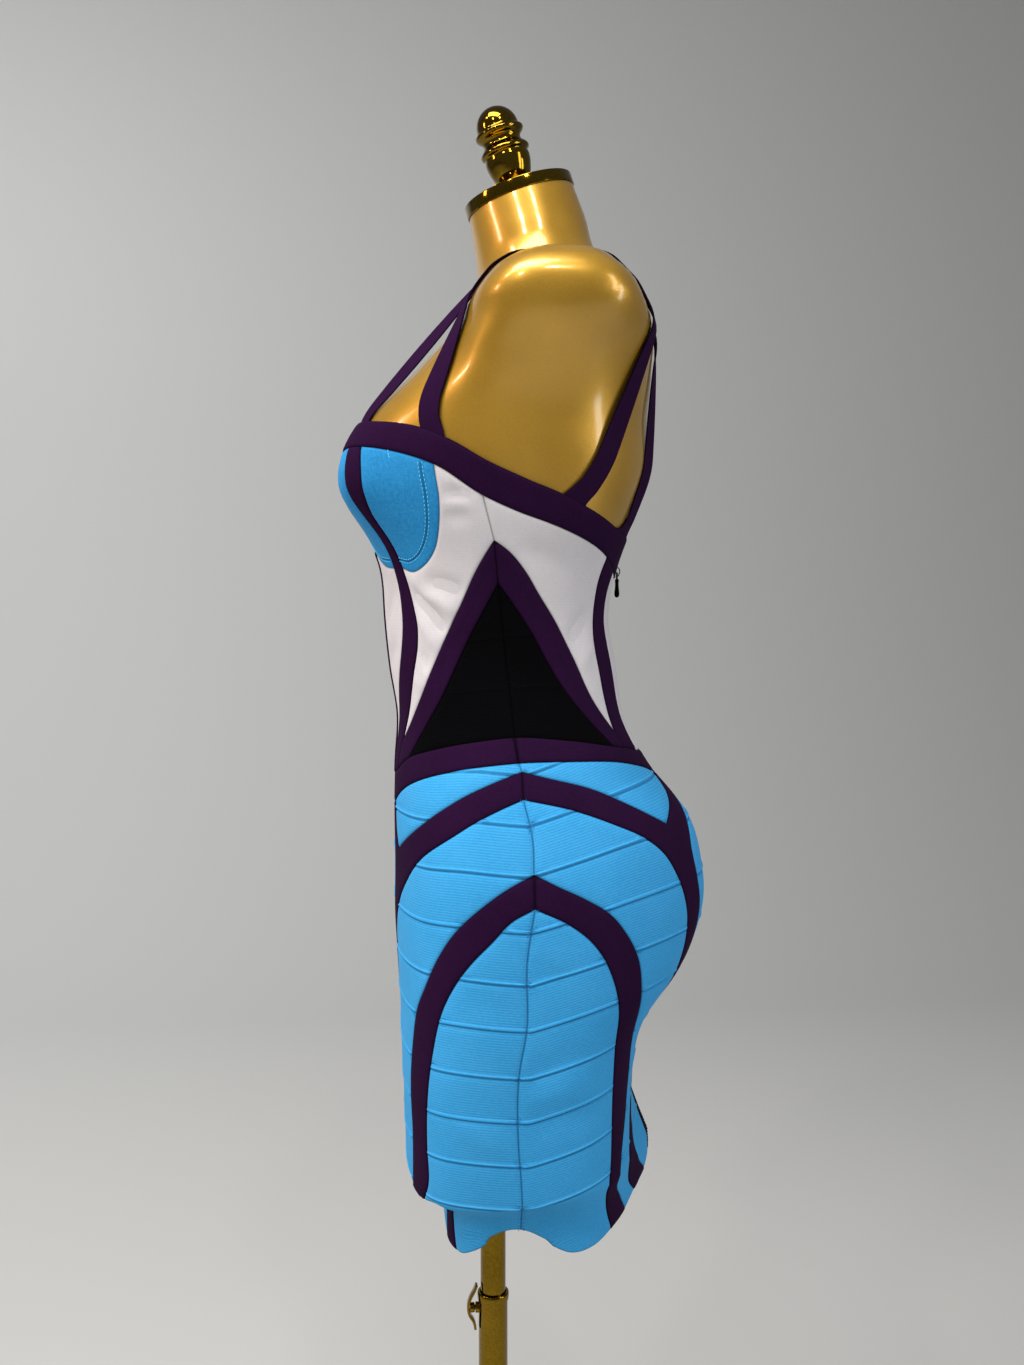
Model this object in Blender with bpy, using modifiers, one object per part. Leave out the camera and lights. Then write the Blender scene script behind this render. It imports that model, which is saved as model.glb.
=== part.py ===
"""Bodycon dress with contrast bands, on a limbless dress form that stands on a pole with a round base.

Frame: metres, +Z up, origin on the floor under the pole, the front faces -Y, +X is the wearer's left.
All sizes below are millimetres and degrees. Places on the cloth are given as degrees round the body
(-90 centre front, 0 side seam, 90 centre back) and height above the floor, for the wearer's left half.
The right half is its mirror image.
"""

import math
from functools import lru_cache

import bmesh
import bpy
from mathutils import Vector
from mathutils.geometry import delaunay_2d_cdt

MM = 0.001

# Cloth
WALL = 1.6             # thickness of a panel, inwards from the body surface
BAND_RISE = 0.6        # how far the bands stand above the panels
SEAM_GAP = 0.3         # clear gap between two pieces at a seam
EDGE_STEP = 23.0       # spacing of points along a seam
BUST_STEP = 12.0       # the same over the bust, where the cloth bends sharply
BEND_STEP = 17.0       # the same where the hem turns in below the form
RIB_HEIGHT = 0.8       # raised rib between two knitted strips of the skirt
RIB_HALF = 3.5         # half width of that rib
ROUND = 2.3            # millimetres of girth for each degree, for laying the pattern out flat

# Dress form
# from the inside of the cloth to the skin of the form, by height
FORM_GAP = ((820, 3.2), (850, 3.6), (880, 3.0), (910, 2.5), (970, 2.5), (1010, 2.1), (1040, 1.6), (1100, 1.3),
            (1500, 1.3))
FORM_BOTTOM = 692.0
NECK_TOP = 1493.9
NECK_LEAN = 18.0       # forward lean of the neck, its cap and the finial
NECK_CENTRE = 24.3

# Straps
STRAP_WIDTH = 18.0
STRAP_THICK = 1.4
STRAP_LIFT = 2.3       # from the skin of the form to the middle of the strap

# Stand
POLE_RADIUS = 11.0
TUBE_RADIUS = 12.7
TUBE_BORE = 11.4
TUBE_TOP = 564.0
POLE_BOTTOM = 273.0
BASE_RADIUS = 180.0
BASE_THICK = 12.0
CLAMP_HEIGHT = 549.5

# Body surface, the outer face of the panels: half width, depth to the front and to the back, how far
# its centre lies behind the pole, squareness of the section, forward lean of the section
SECTION_COLUMNS = ("height", "half", "front", "back", "centre", "square", "lean")
SECTIONS = (
    (665, 137, 80, 100, 8, 3.0, 0),
    (710, 147, 83, 100, 8, 3.0, 0),
    (750, 152, 84, 100, 8, 3.0, 0),
    (790, 156, 86, 104, 8, 2.9, 0),
    (830, 160, 87, 115, 8, 2.7, 0),
    (870, 162, 89, 143, 8, 2.5, 0),
    (910, 163, 91, 155, 8, 2.35, 0),
    (950, 161, 91, 154, 8, 2.3, 0),
    (990, 151, 91, 148, 8, 2.3, 0),
    (1030, 135, 90, 120, 8, 2.3, 0),
    (1070, 118, 88, 101, 8, 2.3, 0),
    (1110, 109, 94, 95, 8, 2.3, 0),
    (1150, 109, 98, 88, 8, 2.3, 0),
    (1190, 116, 100, 94, 8, 2.3, 0),
    (1230, 128, 106, 108, 8, 2.3, 0),
    (1270, 138, 112, 120, 9, 2.3, 0),
    (1310, 147, 105, 118, 11, 2.3, 0),
    (1348, 163, 84, 110, 20, 2.4, 0),
    (1374, 175, 70, 94, 30, 2.9, 0),
    (1391, 176, 64, 75, 35, 3.8, 0),
    (1404, 173, 57, 66, 37, 3.6, 0),
    (1414, 165, 52, 57, 39, 3.0, 0),
    (1420.5, 153, 47, 53, 41, 2.6, 0),
    (1424, 136, 49, 54, 41.5, 2.2, 1),
    (1427, 106, 50.5, 54, 41, 2.1, 2),
    (1430.5, 84, 51, 54, 40, 2.0, 4),
    (1436, 68, 50.5, 53, 38.5, 2.0, 6),
    (1448, 58, 49, 49, 36, 2.0, 9),
    (1469, 51.5, 47.5, 47.5, 31.5, 2.0, 13),
    (NECK_TOP, 45.5, 45, 45, NECK_CENTRE, 2.0, NECK_LEAN),
)

# Swellings and hollows on both halves: distance from the middle, height, width, extent below and above,
# how far it comes out, dip between the two halves (no dip: round in plan)
SWELL_COLUMNS = ("x", "height", "width", "below", "above", "out", "dip")
FRONT_SWELLS = (
    (80, 1257, 48, 40, 70, 36, 0.4),
    (131, 1340, 17, 34, 34, -10, None),
    (90, 1402, 34, 30, 18, -9, None),
)
BACK_SWELLS = (
    (72, 940, 60, 70, 60, 14, 0.3),
)

# Ribs of the skirt: height at the side seam, and rise of each along its way round the body
RIBS = (1035, 999, 963, 922, 883, 848, 811, 776, 741, 705)
BELOW_RIBS = (691, 675)    # plain rows of points below the last rib
RIB_RISE = ((-90, -4), (-60, -2), (-30, 0), (-15, 3), (3, 0), (17, 10), (30, 18), (45, 23), (60, 25), (90, 27))

# Hem below the form: how far the free cloth turns in (-), and where that starts, by degrees; it is full
# at HEM_LINE. At centre back the hem flares out instead, by height.
HEM_LINE = 672.0
HEM_CURL = ((-90, -28), (-36, -28), (0, -16), (30, -10), (60, 0), (90, 0))
HEM_BEND = ((-90, 697), (-36, 697), (0, 706), (30, 712), (90, 716))
BEND_ROWS = (713, 702, 690, 672)    # rows of points where the hem turns in
FLARE = ((690, 27), (705, 26), (722, 19), (742, 12), (777, 6), (812, 0))
FLARE_WIDTH = 30.0


def smooth(table, x):
    """Value of a table of (place, value...) rows at x, smooth through the rows."""
    xs = [row[0] for row in table]
    if x <= xs[0]:
        return table[0][1:]
    if x >= xs[-1]:
        return table[-1][1:]
    k = max(i for i in range(len(xs) - 1) if xs[i] <= x)
    span = xs[k + 1] - xs[k]
    u = (x - xs[k]) / span
    out = []
    for c in range(1, len(table[0])):
        def slope(i):
            if i == 0 or i == len(xs) - 1:
                j = min(i, len(xs) - 2)
                return (table[j + 1][c] - table[j][c]) / (xs[j + 1] - xs[j])
            before, after = xs[i] - xs[i - 1], xs[i + 1] - xs[i]
            s0 = (table[i][c] - table[i - 1][c]) / before
            s1 = (table[i + 1][c] - table[i][c]) / after
            return (s0 * after + s1 * before) / (before + after)
        a, b = table[k][c], table[k + 1][c]
        m0, m1 = slope(k) * span, slope(k + 1) * span
        out.append((2 * u**3 - 3 * u**2 + 1) * a + (u**3 - 2 * u**2 + u) * m0
                   + (3 * u**2 - 2 * u**3) * b + (u**3 - u**2) * m1)
    return tuple(out)


def linear(table, x):
    """Value of a table of (place, value) rows at x, straight between the rows."""
    for (x0, y0), (x1, y1) in zip(table, table[1:]):
        if x <= x1:
            return y0 + (y1 - y0) * max(0.0, (x - x0) / (x1 - x0))
    return table[-1][1]


@lru_cache(maxsize=None)
def section(height):
    return smooth(SECTIONS, height)


def swell(x, height, rows):
    total = 0.0
    for place, level, width, below, above, out, dip in rows:
        x = abs(x)
        if dip is not None and x < place:
            across = 1 - dip * (0.5 + 0.5 * math.cos(math.pi * x / place))
        else:
            across = math.exp(-((x - place) / width) ** 2)
        extent = below if height < level else above
        total += out * across * math.exp(-((height - level) / extent) ** 2)
    return total


@lru_cache(maxsize=None)
def body_point(deg, height):
    half, front, back, centre, square, lean = section(height)
    co, si = math.cos(math.radians(deg)), math.sin(math.radians(deg))
    depth = front if si < 0 else back
    r = ((abs(co) / half) ** square + (abs(si) / depth) ** square) ** (-1 / square)
    lean = math.radians(lean)
    x = r * co
    y = centre + r * si * math.cos(lean)
    y -= swell(x, height, FRONT_SWELLS) * max(-si, 0.0)
    y += swell(x, height, BACK_SWELLS) * max(si, 0.0)
    return x, y, height + r * si * math.sin(lean)


def body(deg, height):
    return Vector(body_point(round(deg, 4), round(height, 4)))


def normal(deg, height):
    around = body(deg + 0.5, height) - body(deg - 0.5, height)
    up = body(deg, height + 1) - body(deg, height - 1)
    return around.cross(up).normalized()


def folded(deg):
    """The same place on the wearer's left half."""
    if deg < -90:
        return -180 - deg
    if deg > 90:
        return 180 - deg
    return deg


def hem_shift(deg, height):
    """How far the cloth leaves the body surface below the form."""
    if height >= FLARE[-1][0]:
        return 0.0
    place = folded(deg)
    bend = linear(HEM_BEND, place)
    u = min(1.0, max(0.0, (bend - height) / (bend - HEM_LINE)))
    curl = linear(HEM_CURL, place) * (1 - (1 - u) ** 2)
    flare = linear(FLARE, height) * math.exp(-((place - 90) / FLARE_WIDTH) ** 2)
    return curl + flare


def cloth(deg, height, out=0.0):
    """Point of the cloth, out millimetres outside the panels' face."""
    return body(deg, height) + normal(deg, height) * (hem_shift(deg, height) + out)


def form_inset(height):
    """How far the skin of the form lies inside the panels' face; it reaches it on the bare shoulders."""
    u = min(1.0, max(0.0, (1400 - height) / 60))
    return (WALL + linear(FORM_GAP, height)) * u * u * (3 - 2 * u)


def at_x(x, height, side):
    """Degrees of the point at distance x from the middle, on the front (-1) or the back (1)."""
    near, far = 0.0, 90.0
    for _ in range(40):
        mid = (near + far) / 2
        if body(side * mid, height).x > x:
            near = mid
        else:
            far = mid
    return side * near


# Zip and the narrow band at centre front run straight down at a fixed distance from the middle
ZIP_HALF = 12.0
FRONT_BAND_HALF = 9.0


def zip_edge(height):
    return (at_x(ZIP_HALF, height, 1), height)


def front_band_edge(height):
    return (at_x(FRONT_BAND_HALF, height, -1), height)


# Junctions of the pattern: degrees and height
JUNCTIONS = {
    "neck_front": (-90, 1298), "neck_side": (-9, 1268), "neck_zip": zip_edge(1215), "neck_back": (90, 1215),
    "low_front": (-90, 1276), "low_princess_a": (-56, 1284), "low_princess_b": (-47.5, 1283),
    "low_cup": (-24, 1266), "low_side": (-10, 1243), "low_back_a": (44, 1199), "low_back_b": (57, 1189),
    "low_zip": zip_edge(1180),
    "cup_princess": (-55, 1190), "cup_low": (-48, 1190), "cup_band": front_band_edge(1204),
    "cup_front": (-90, 1206),
    "chevron_top": (-7, 1210), "triangle_top": (-6, 1178),
    "chevron_front": (-60, 1053), "chevron_back": (46, 1061),
    "waist_front": (-90, 1020), "waist_band": front_band_edge(1021.5), "waist_a": (-82, 1022.5),
    "waist_b": (-67, 1028), "waist_c": (-49, 1041), "waist_side": (0, 1061.5), "waist_d": (41, 1051),
    "waist_e": (49, 1048.5), "waist_f": (62, 1044), "waist_zip": zip_edge(1040),
    "hip_front": (-90, 996), "hip_a": (-83, 998), "hip_b": (-72, 1002.5), "hip_side": (1, 1043),
    "hip_c": (71, 1025), "hip_d": (81, 1021), "hip_zip": zip_edge(1019),
    "arch_top": (2, 1037), "tail_front": (-59, 966), "tail_back": (49, 991),
    "diamond_foot": (-90, 880), "arch_foot": (-90, 843), "arch_low": (2, 1017),
    "inner_top": (4, 964), "inner_low": (4, 939),
    "hem_front": (-90, 652), "hem_a": (-52, 643), "hem_b": (-37, 645), "hem_side": (2, 675),
    "hem_c": (40, 664), "hem_d": (50, 671), "hem_e": (58, 679), "hem_f": (73, 683),
    "hem_zip": zip_edge(690), "hem_back": (90, 690),
}

# Seams and edges: each runs smoothly through its junctions and the (degrees, height) places between
LINES = {
    "neck_top": ("neck_front", (-75, 1302), (-60, 1305), (-45, 1302), (-29, 1294), (-20, 1284), "neck_side",
                 (3, 1255), (15, 1245), (30, 1232), (46, 1221), (64, 1217), "neck_zip"),
    "neck_low": ("low_front", (-75, 1281), "low_princess_a", "low_princess_b", (-37, 1278), "low_cup",
                 "low_side", (0, 1232), (12, 1223), (28, 1211), "low_back_a", "low_back_b", "low_zip"),
    "neck_seam": ("neck_side", "low_side"),
    "zip_top": ("neck_back", "neck_zip"),
    "zip_foot": ("hem_zip", "hem_back"),
    "front_seam": ("low_front", "cup_front"),
    "princess_front_inner": ("low_princess_a", (-55, 1265), (-55, 1240), (-55, 1212), "cup_princess",
                             (-53, 1165), (-53, 1145), (-56, 1125), (-61, 1105), (-69, 1080), (-77, 1052),
                             "waist_a"),
    "princess_front_outer": ("low_princess_b", (-46, 1263), (-46.5, 1246), (-49, 1228), (-49, 1212), "cup_low",
                             (-46, 1175), (-44, 1160), (-42.5, 1145), (-43, 1130), (-46, 1110), (-51, 1083),
                             "chevron_front", "waist_b"),
    "cup_edge": ("low_cup", (-23, 1241), (-25, 1220), (-29, 1203), (-35, 1192), (-42, 1187), "cup_low"),
    "cup_under": ("cup_princess", (-65, 1192), (-76, 1198), "cup_band", "cup_front"),
    "front_band": ("cup_band", front_band_edge(1170), front_band_edge(1135), front_band_edge(1100),
                   front_band_edge(1060), "waist_band"),
    "bodice_side": ("low_side", "chevron_top"),
    "chevron_front_outer": ("chevron_top", (-14, 1188), (-22, 1158), (-28, 1137), (-35, 1112), (-42, 1089),
                            (-50, 1070), "chevron_front"),
    "chevron_front_inner": ("triangle_top", (-12, 1157), (-18, 1136), (-24, 1112), (-30, 1089), (-39, 1064),
                            "waist_c"),
    "chevron_back_outer": ("chevron_top", (-2, 1202), (4, 1188), (10, 1170), (18, 1148), (26, 1122),
                           (35, 1088), "chevron_back"),
    "chevron_back_inner": ("triangle_top", (1, 1159), (8, 1139), (15, 1115), (23, 1091), (31, 1072), "waist_d"),
    "princess_back_outer": ("low_back_a", (41, 1183), (40, 1161), (40, 1135), (42, 1108), (44, 1083),
                            "chevron_back", "waist_e"),
    "princess_back_inner": ("low_back_b", (53, 1172), (52, 1156), (54, 1130), (56, 1100), (59, 1066), "waist_f"),
    "waist_top": ("waist_front", "waist_band", "waist_a", (-75, 1025), "waist_b", (-57, 1035), "waist_c",
                  (-36, 1048), (-17, 1057), "waist_side", (21, 1058), "waist_d", "waist_e", "waist_f",
                  "waist_zip"),
    "waist_low": ("hip_front", "hip_a", "hip_b", (-66, 1006), (-56, 1013), (-45, 1021), (-30, 1031),
                  (-16, 1038.5), "hip_side", (19, 1043), (38, 1040), (55, 1033), "hip_c", "hip_d", "hip_zip"),
    "waist_seam": ("waist_side", "hip_side"),
    "yoke_seam": ("hip_side", "arch_top"),
    "arch_front_top": ("arch_top", (-7, 1029), (-16, 1019), (-25, 1006), (-36, 990), (-48, 976), "tail_front"),
    "tail_front_outer": ("hip_b", (-69, 990), (-65, 977), "tail_front"),
    "tail_front_inner": ("hip_a", (-80, 985), (-76, 968), (-73, 950), (-75, 928), (-81, 903), "diamond_foot"),
    "diamond_seam": ("diamond_foot", "arch_foot"),
    "arch_front_low": ("arch_low", (-4, 1011), (-12, 1001), (-20, 988), (-34, 966), (-45, 945), (-58, 922),
                       (-68, 898), (-79, 867), "arch_foot"),
    "arch_back_top": ("arch_top", (10, 1032), (25, 1022), (37, 1008), "tail_back"),
    "tail_back_outer": ("hip_c", (66, 1012), (59, 1004), (53, 997), "tail_back"),
    "tail_back_inner": ("hip_d", (77, 1009), (70, 997), (63, 985), (59, 970), (59, 950), (61, 920), (62, 880),
                        (63, 840), (65, 790), (60, 750), (58, 722), (63, 701), "hem_f"),
    "arch_back_low": ("arch_low", (16, 1009), (29, 996), (38, 984), (44, 970), (48, 952), (51, 931), (53, 909),
                      (54, 880), (54, 850), (56, 820), (56, 780), (52, 745), (49, 715), (51, 695), "hem_e"),
    "middle_seam": ("arch_low", (4, 990), "inner_top"),
    "inner_front_top": ("inner_top", (-4, 952), (-11, 937), (-18, 918), (-24, 896), (-30, 870), (-35, 850),
                        (-39, 819), (-42, 780), (-42, 740), (-45, 700), (-52, 670), "hem_a"),
    "inner_front_low": ("inner_low", (-2, 930), (-7, 915), (-13, 897), (-18, 878), (-22, 858), (-26, 823),
                        (-29, 781), (-30, 746), (-30, 715), (-35, 692), (-40, 668), "hem_b"),
    "inner_back_top": ("inner_top", (10, 955), (17, 945), (24, 932), (29, 915), (33, 894), (35, 872), (38, 831),
                       (41, 791), (41, 757), (38, 725), (38, 705), (44, 688), "hem_d"),
    "inner_back_low": ("inner_low", (12, 928), (18, 915), (22, 901), (25, 884), (28, 856), (29, 822), (30, 779),
                       (31, 733), (31, 710), (34, 692), "hem_c"),
    "low_seam": ("inner_low", (2, 900), (2, 850), (0, 812), (0, 760), (1, 727), "hem_side"),
    "hem": ("hem_front", (-65, 650), "hem_a", "hem_b", (-16, 658), "hem_side", (12, 665), (20, 657), (29, 657),
            "hem_c",
            "hem_d", "hem_e", "hem_f", "hem_zip"),
    "zip_edge": ("neck_zip", "low_zip", zip_edge(1145), zip_edge(1110), zip_edge(1075), "waist_zip", "hip_zip",
                 zip_edge(985), zip_edge(950), zip_edge(915), zip_edge(880), zip_edge(845), zip_edge(810),
                 zip_edge(775), zip_edge(740), "hem_zip"),
}


def step_at(deg, height):
    if height < BEND_ROWS[0]:
        return BEND_STEP
    return BUST_STEP if deg < -25 and 1180 < height < 1310 else EDGE_STEP


@lru_cache(maxsize=None)
def trace(name):
    """Points along a seam, evenly spaced between its junctions, with each junction's place in the list."""
    rows = LINES[name]
    places = [JUNCTIONS[row] if isinstance(row, str) else row for row in rows]
    along = [0.0]
    for (d0, h0), (d1, h1) in zip(places, places[1:]):
        along.append(along[-1] + math.hypot((d1 - d0) * ROUND, h1 - h0))
    table = [(s, deg, height) for s, (deg, height) in zip(along, places)]
    stops = [(s, row) for s, row in zip(along, rows) if isinstance(row, str)]
    points, marks = [JUNCTIONS[rows[0]]], {rows[0]: 0}
    for (s0, _), (s1, mark) in zip(stops, stops[1:]):
        count = max(2, math.ceil(s1 - s0))
        walk = [s0 + (s1 - s0) * i / count for i in range(count + 1)]
        cost = [0.0]
        for a, b in zip(walk, walk[1:]):
            cost.append(cost[-1] + (b - a) / step_at(*smooth(table, (a + b) / 2)))
        parts = max(1, round(cost[-1]))
        scale = [(c, s) for c, s in zip(cost, walk)]
        for i in range(1, parts):
            points.append(smooth(table, linear(scale, cost[-1] * i / parts)))
        marks[mark] = len(points)
        points.append(JUNCTIONS[mark])
    return tuple(points), marks


def run(name, start, end):
    """Points of a seam from one junction to another, in that direction."""
    points, marks = trace(name)
    a, b = marks[start], marks[end]
    return list(points[a:b + 1]) if a < b else list(points[b:a + 1])[::-1]


def outline(path, across=None):
    """Closed outline from a chain of junctions and the seams between them; across is the degrees of the
    middle that the piece crosses, where the chain runs from the middle to the middle on one half."""
    points = []
    for start, seam, end in zip(path[0::2], path[1::2], path[2::2]):
        points += run(seam, start, end)[:-1]
    if across is not None:
        points.append(JUNCTIONS[path[-1]])
        points += [(2 * across - deg, height) for deg, height in points[-2:0:-1]]
    area = 0.0
    for (d0, h0), (d1, h1) in zip(points, points[1:] + points[:1]):
        area += d0 * h1 - d1 * h0
    return points if area > 0 else points[::-1]


def inside(place, loop, margin):
    """Whether a place lies inside an outline laid flat, at least margin from its edge."""
    x, y = place
    hit = False
    for (x0, y0), (x1, y1) in zip(loop, loop[1:] + loop[:1]):
        if (y0 > y) != (y1 > y) and x < x0 + (y - y0) / (y1 - y0) * (x1 - x0):
            hit = not hit
        dx, dy = x1 - x0, y1 - y0
        u = min(1.0, max(0.0, ((x - x0) * dx + (y - y0) * dy) / (dx * dx + dy * dy)))
        if math.hypot(x - x0 - u * dx, y - y0 - u * dy) < margin:
            return False
    return hit


def rib_rows():
    """Rows of points over and between the ribs: height at the side seam, and how far the row stands out."""
    rows = []
    for k, height in enumerate(RIBS):
        rows += [(height + RIB_HALF, 0.0), (height, RIB_HEIGHT), (height - RIB_HALF, 0.0)]
        if k + 1 < len(RIBS):
            rows.append(((height + RIBS[k + 1]) / 2, 0.0))
    return rows + [(height, 0.0) for height in BELOW_RIBS]


def fill_points(loop, spacing, margin, ribbed):
    """Places inside an outline: on the rows of the ribs, or on an even staggered grid."""
    low_x, high_x = min(x for x, _ in loop), max(x for x, _ in loop)
    low_y, high_y = min(y for _, y in loop), max(y for _, y in loop)
    wide, tall = spacing
    count = max(1, round((high_x - low_x) / wide))
    columns = [low_x + (high_x - low_x) * (i + 0.5) / count for i in range(count)]
    found = []
    if ribbed:
        for height, out in rib_rows():
            for x in columns:
                place = (x, height + linear(RIB_RISE, folded(x / ROUND)))
                if inside(place, loop, margin):
                    found.append((place, out))
        return found
    low_grid = max(low_y, BEND_ROWS[0] + 6) if low_y < BEND_ROWS[0] else low_y
    rows = max(1, round((high_y - low_grid) / tall))
    levels = [low_grid + (high_y - low_grid) * (j + 0.5) / rows for j in range(rows)]
    if low_y < BEND_ROWS[0]:
        levels += BEND_ROWS
    for j, y in enumerate(levels):
        for x in columns:
            place = (x + (0.25 if j % 2 else -0.25) * wide, y)
            if inside(place, loop, margin):
                found.append((place, 0.0))
    return found


def triangles(loop, points):
    """Triangles inside an outline, through its points and the points within it."""
    flat = [Vector(p) for p in loop] + [Vector(p) for p in points]
    found = delaunay_2d_cdt(flat, [], [list(range(len(loop)))], 1, 1e-6)
    verts, faces, origin = found[0], found[2], found[3]
    if len(verts) != len(flat):
        raise ValueError("an outline crosses itself")
    index = [group[0] for group in origin]
    result = []
    for face in faces:
        a, b, c = (verts[i] for i in face)
        turned = (b - a).cross(c - a) if len(a) == 3 else (b.x - a.x) * (c.y - a.y) - (b.y - a.y) * (c.x - a.x)
        ids = [index[i] for i in face]
        result.append(ids if turned > 0 else ids[::-1])
    return result


def seam_shift(places):
    """For each corner of an outline, the move into the piece that opens half of the seam gap."""
    points = [cloth(deg, height) for deg, height in places]
    shifts = []
    for i, point in enumerate(points):
        n = normal(*places[i])
        sides = []
        for a, b in ((points[i - 1], point), (point, points[(i + 1) % len(points)])):
            along = b - a
            along -= n * along.dot(n)
            sides.append(n.cross(along).normalized())
        mitre = (sides[0] + sides[1]) / max(0.15, 1 + sides[0].dot(sides[1]))
        if mitre.length > 3:
            mitre *= 3 / mitre.length
        shifts.append(mitre * SEAM_GAP / 2)
    return shifts


def wall(name, places, material, out=0.0, ribbed=False, spacing=(20.0, 20.0), mirrored=False):
    """A cloth wall on the body surface inside an outline: ribs on its outer face, plain inside."""
    loop = [(deg * ROUND, height) for deg, height in places]
    shifts = seam_shift(places)
    outer_fill = fill_points(loop, spacing, 4.5, ribbed)
    inner_spacing = (28.0, 28.0) if ribbed else spacing
    inner_fill = fill_points(loop, inner_spacing, 6.0, False)
    count = len(loop)
    points = []
    for fill, lift in ((outer_fill, out), (inner_fill, -WALL)):
        points += [cloth(deg, height, lift) + shifts[i] for i, (deg, height) in enumerate(places)]
        points += [cloth(x / ROUND, y, lift + rise) for (x, y), rise in fill]
    start = count + len(outer_fill)
    faces = triangles(loop, [p for p, _ in outer_fill])
    faces += [[start + i for i in reversed(face)] for face in triangles(loop, [p for p, _ in inner_fill])]
    for i in range(count):
        j = (i + 1) % count
        faces.append([j, i, start + i, start + j])
    if mirrored:
        points = [Vector((-p.x, p.y, p.z)) for p in points]
        faces = [face[::-1] for face in faces]
    return mesh_object(name, points, faces, material)


def mesh_object(name, points, faces, material, smooth_angle=40, scale=MM):
    mesh = bpy.data.meshes.new(name)
    mesh.from_pydata([tuple(c * scale for c in p) for p in points], [], faces)
    mesh.validate()
    return finish(bpy.data.objects.new(name, mesh), material, smooth_angle)


def finish(obj, material, smooth_angle=40):
    obj.data.materials.clear()
    obj.data.materials.append(material)
    if obj.type == "MESH" and smooth_angle:
        obj.data.shade_smooth()
        obj.data.set_sharp_from_angle(angle=math.radians(smooth_angle))
    parts.objects.link(obj)
    return obj


def new_material(name, colour, roughness, metallic=0.0):
    material = bpy.data.materials.new(name)
    material.use_nodes = True
    shader = material.node_tree.nodes["Principled BSDF"]
    channels = [c / 12.92 if c <= 0.04045 else ((c + 0.055) / 1.055) ** 2.4
                for c in (int(colour[i:i + 2], 16) / 255 for i in (0, 2, 4))]
    shader.inputs["Base Color"].default_value = (*channels, 1.0)
    shader.inputs["Roughness"].default_value = roughness
    shader.inputs["Metallic"].default_value = metallic
    material.diffuse_color = (*channels, 1.0)
    material.roughness = roughness
    material.metallic = metallic
    return material


def turned(name, profile, material, steps=20):
    """A turned solid from a profile of (radius, height) that runs down its outer side."""
    mesh = bpy.data.meshes.new(name)
    closed = profile[0][0] > 0
    edges = [(i, i + 1) for i in range(len(profile) - 1)]
    if closed:
        edges.append((len(profile) - 1, 0))
    mesh.from_pydata([(r * MM, 0.0, z * MM) for r, z in profile], edges, [])
    obj = bpy.data.objects.new(name, mesh)
    screw = obj.modifiers.new("turn", "SCREW")
    screw.steps = steps
    screw.render_steps = steps
    screw.use_merge_vertices = True
    screw.merge_threshold = 0.00001
    screw.use_smooth_shade = True
    obj.data.materials.append(material)
    parts.objects.link(obj)
    return obj


def cube(name, size, centre, bevel=0.0):
    mesh = bpy.data.meshes.new(name)
    bm = bmesh.new()
    bmesh.ops.create_cube(bm, size=1.0)
    bmesh.ops.scale(bm, verts=bm.verts, vec=[c * MM for c in size])
    if bevel:
        bmesh.ops.bevel(bm, geom=bm.edges[:], offset=bevel * MM, segments=2, affect="EDGES", profile=0.6)
    bmesh.ops.translate(bm, verts=bm.verts, vec=[c * MM for c in centre])
    bm.to_mesh(mesh)
    bm.free()
    return bpy.data.objects.new(name, mesh)


def rod(name, radius, start, end, sides=20):
    """A cylinder between two points, made from the cone primitive and turned to lie between them."""
    start, end = Vector(start) * MM, Vector(end) * MM
    mesh = bpy.data.meshes.new(name)
    bm = bmesh.new()
    bmesh.ops.create_cone(bm, cap_ends=True, segments=sides, radius1=radius * MM, radius2=radius * MM,
                          depth=(end - start).length)
    bm.to_mesh(mesh)
    bm.free()
    obj = bpy.data.objects.new(name, mesh)
    obj.rotation_euler = (end - start).to_track_quat("Z", "Y").to_euler()
    obj.location = (start + end) / 2
    return obj


def tool(obj):
    """A helper solid that another piece is cut with or joined to."""
    cutters.objects.link(obj)
    obj.hide_render = True
    obj.display_type = "WIRE"
    return obj


def combine(obj, helper, operation):
    modifier = obj.modifiers.new(operation.lower(), "BOOLEAN")
    modifier.operation = operation
    modifier.solver = "EXACT"
    modifier.object = tool(helper)


for item in list(bpy.data.objects):
    bpy.data.objects.remove(item, do_unlink=True)

parts = bpy.data.collections.new("bodycon_dress_on_form")
cutters = bpy.data.collections.new("cutters")
bpy.context.scene.collection.children.link(parts)
bpy.context.scene.collection.children.link(cutters)

BLUE = new_material("blue bandage knit", "4DB4EC", 0.7)
PLUM = new_material("plum bandage knit", "35143F", 0.75)
WHITE = new_material("white bandage knit", "DADADC", 0.75)
BLACK = new_material("black bandage knit", "08080A", 0.8)
ZIP_METAL = new_material("dark zip metal", "23222A", 0.35, 1.0)
GOLD_SATIN = new_material("satin gold lacquer", "C08E2C", 0.35, 0.7)
GOLD_POLISH = new_material("polished gold plating", "B08D2E", 0.15, 1.0)

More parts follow.
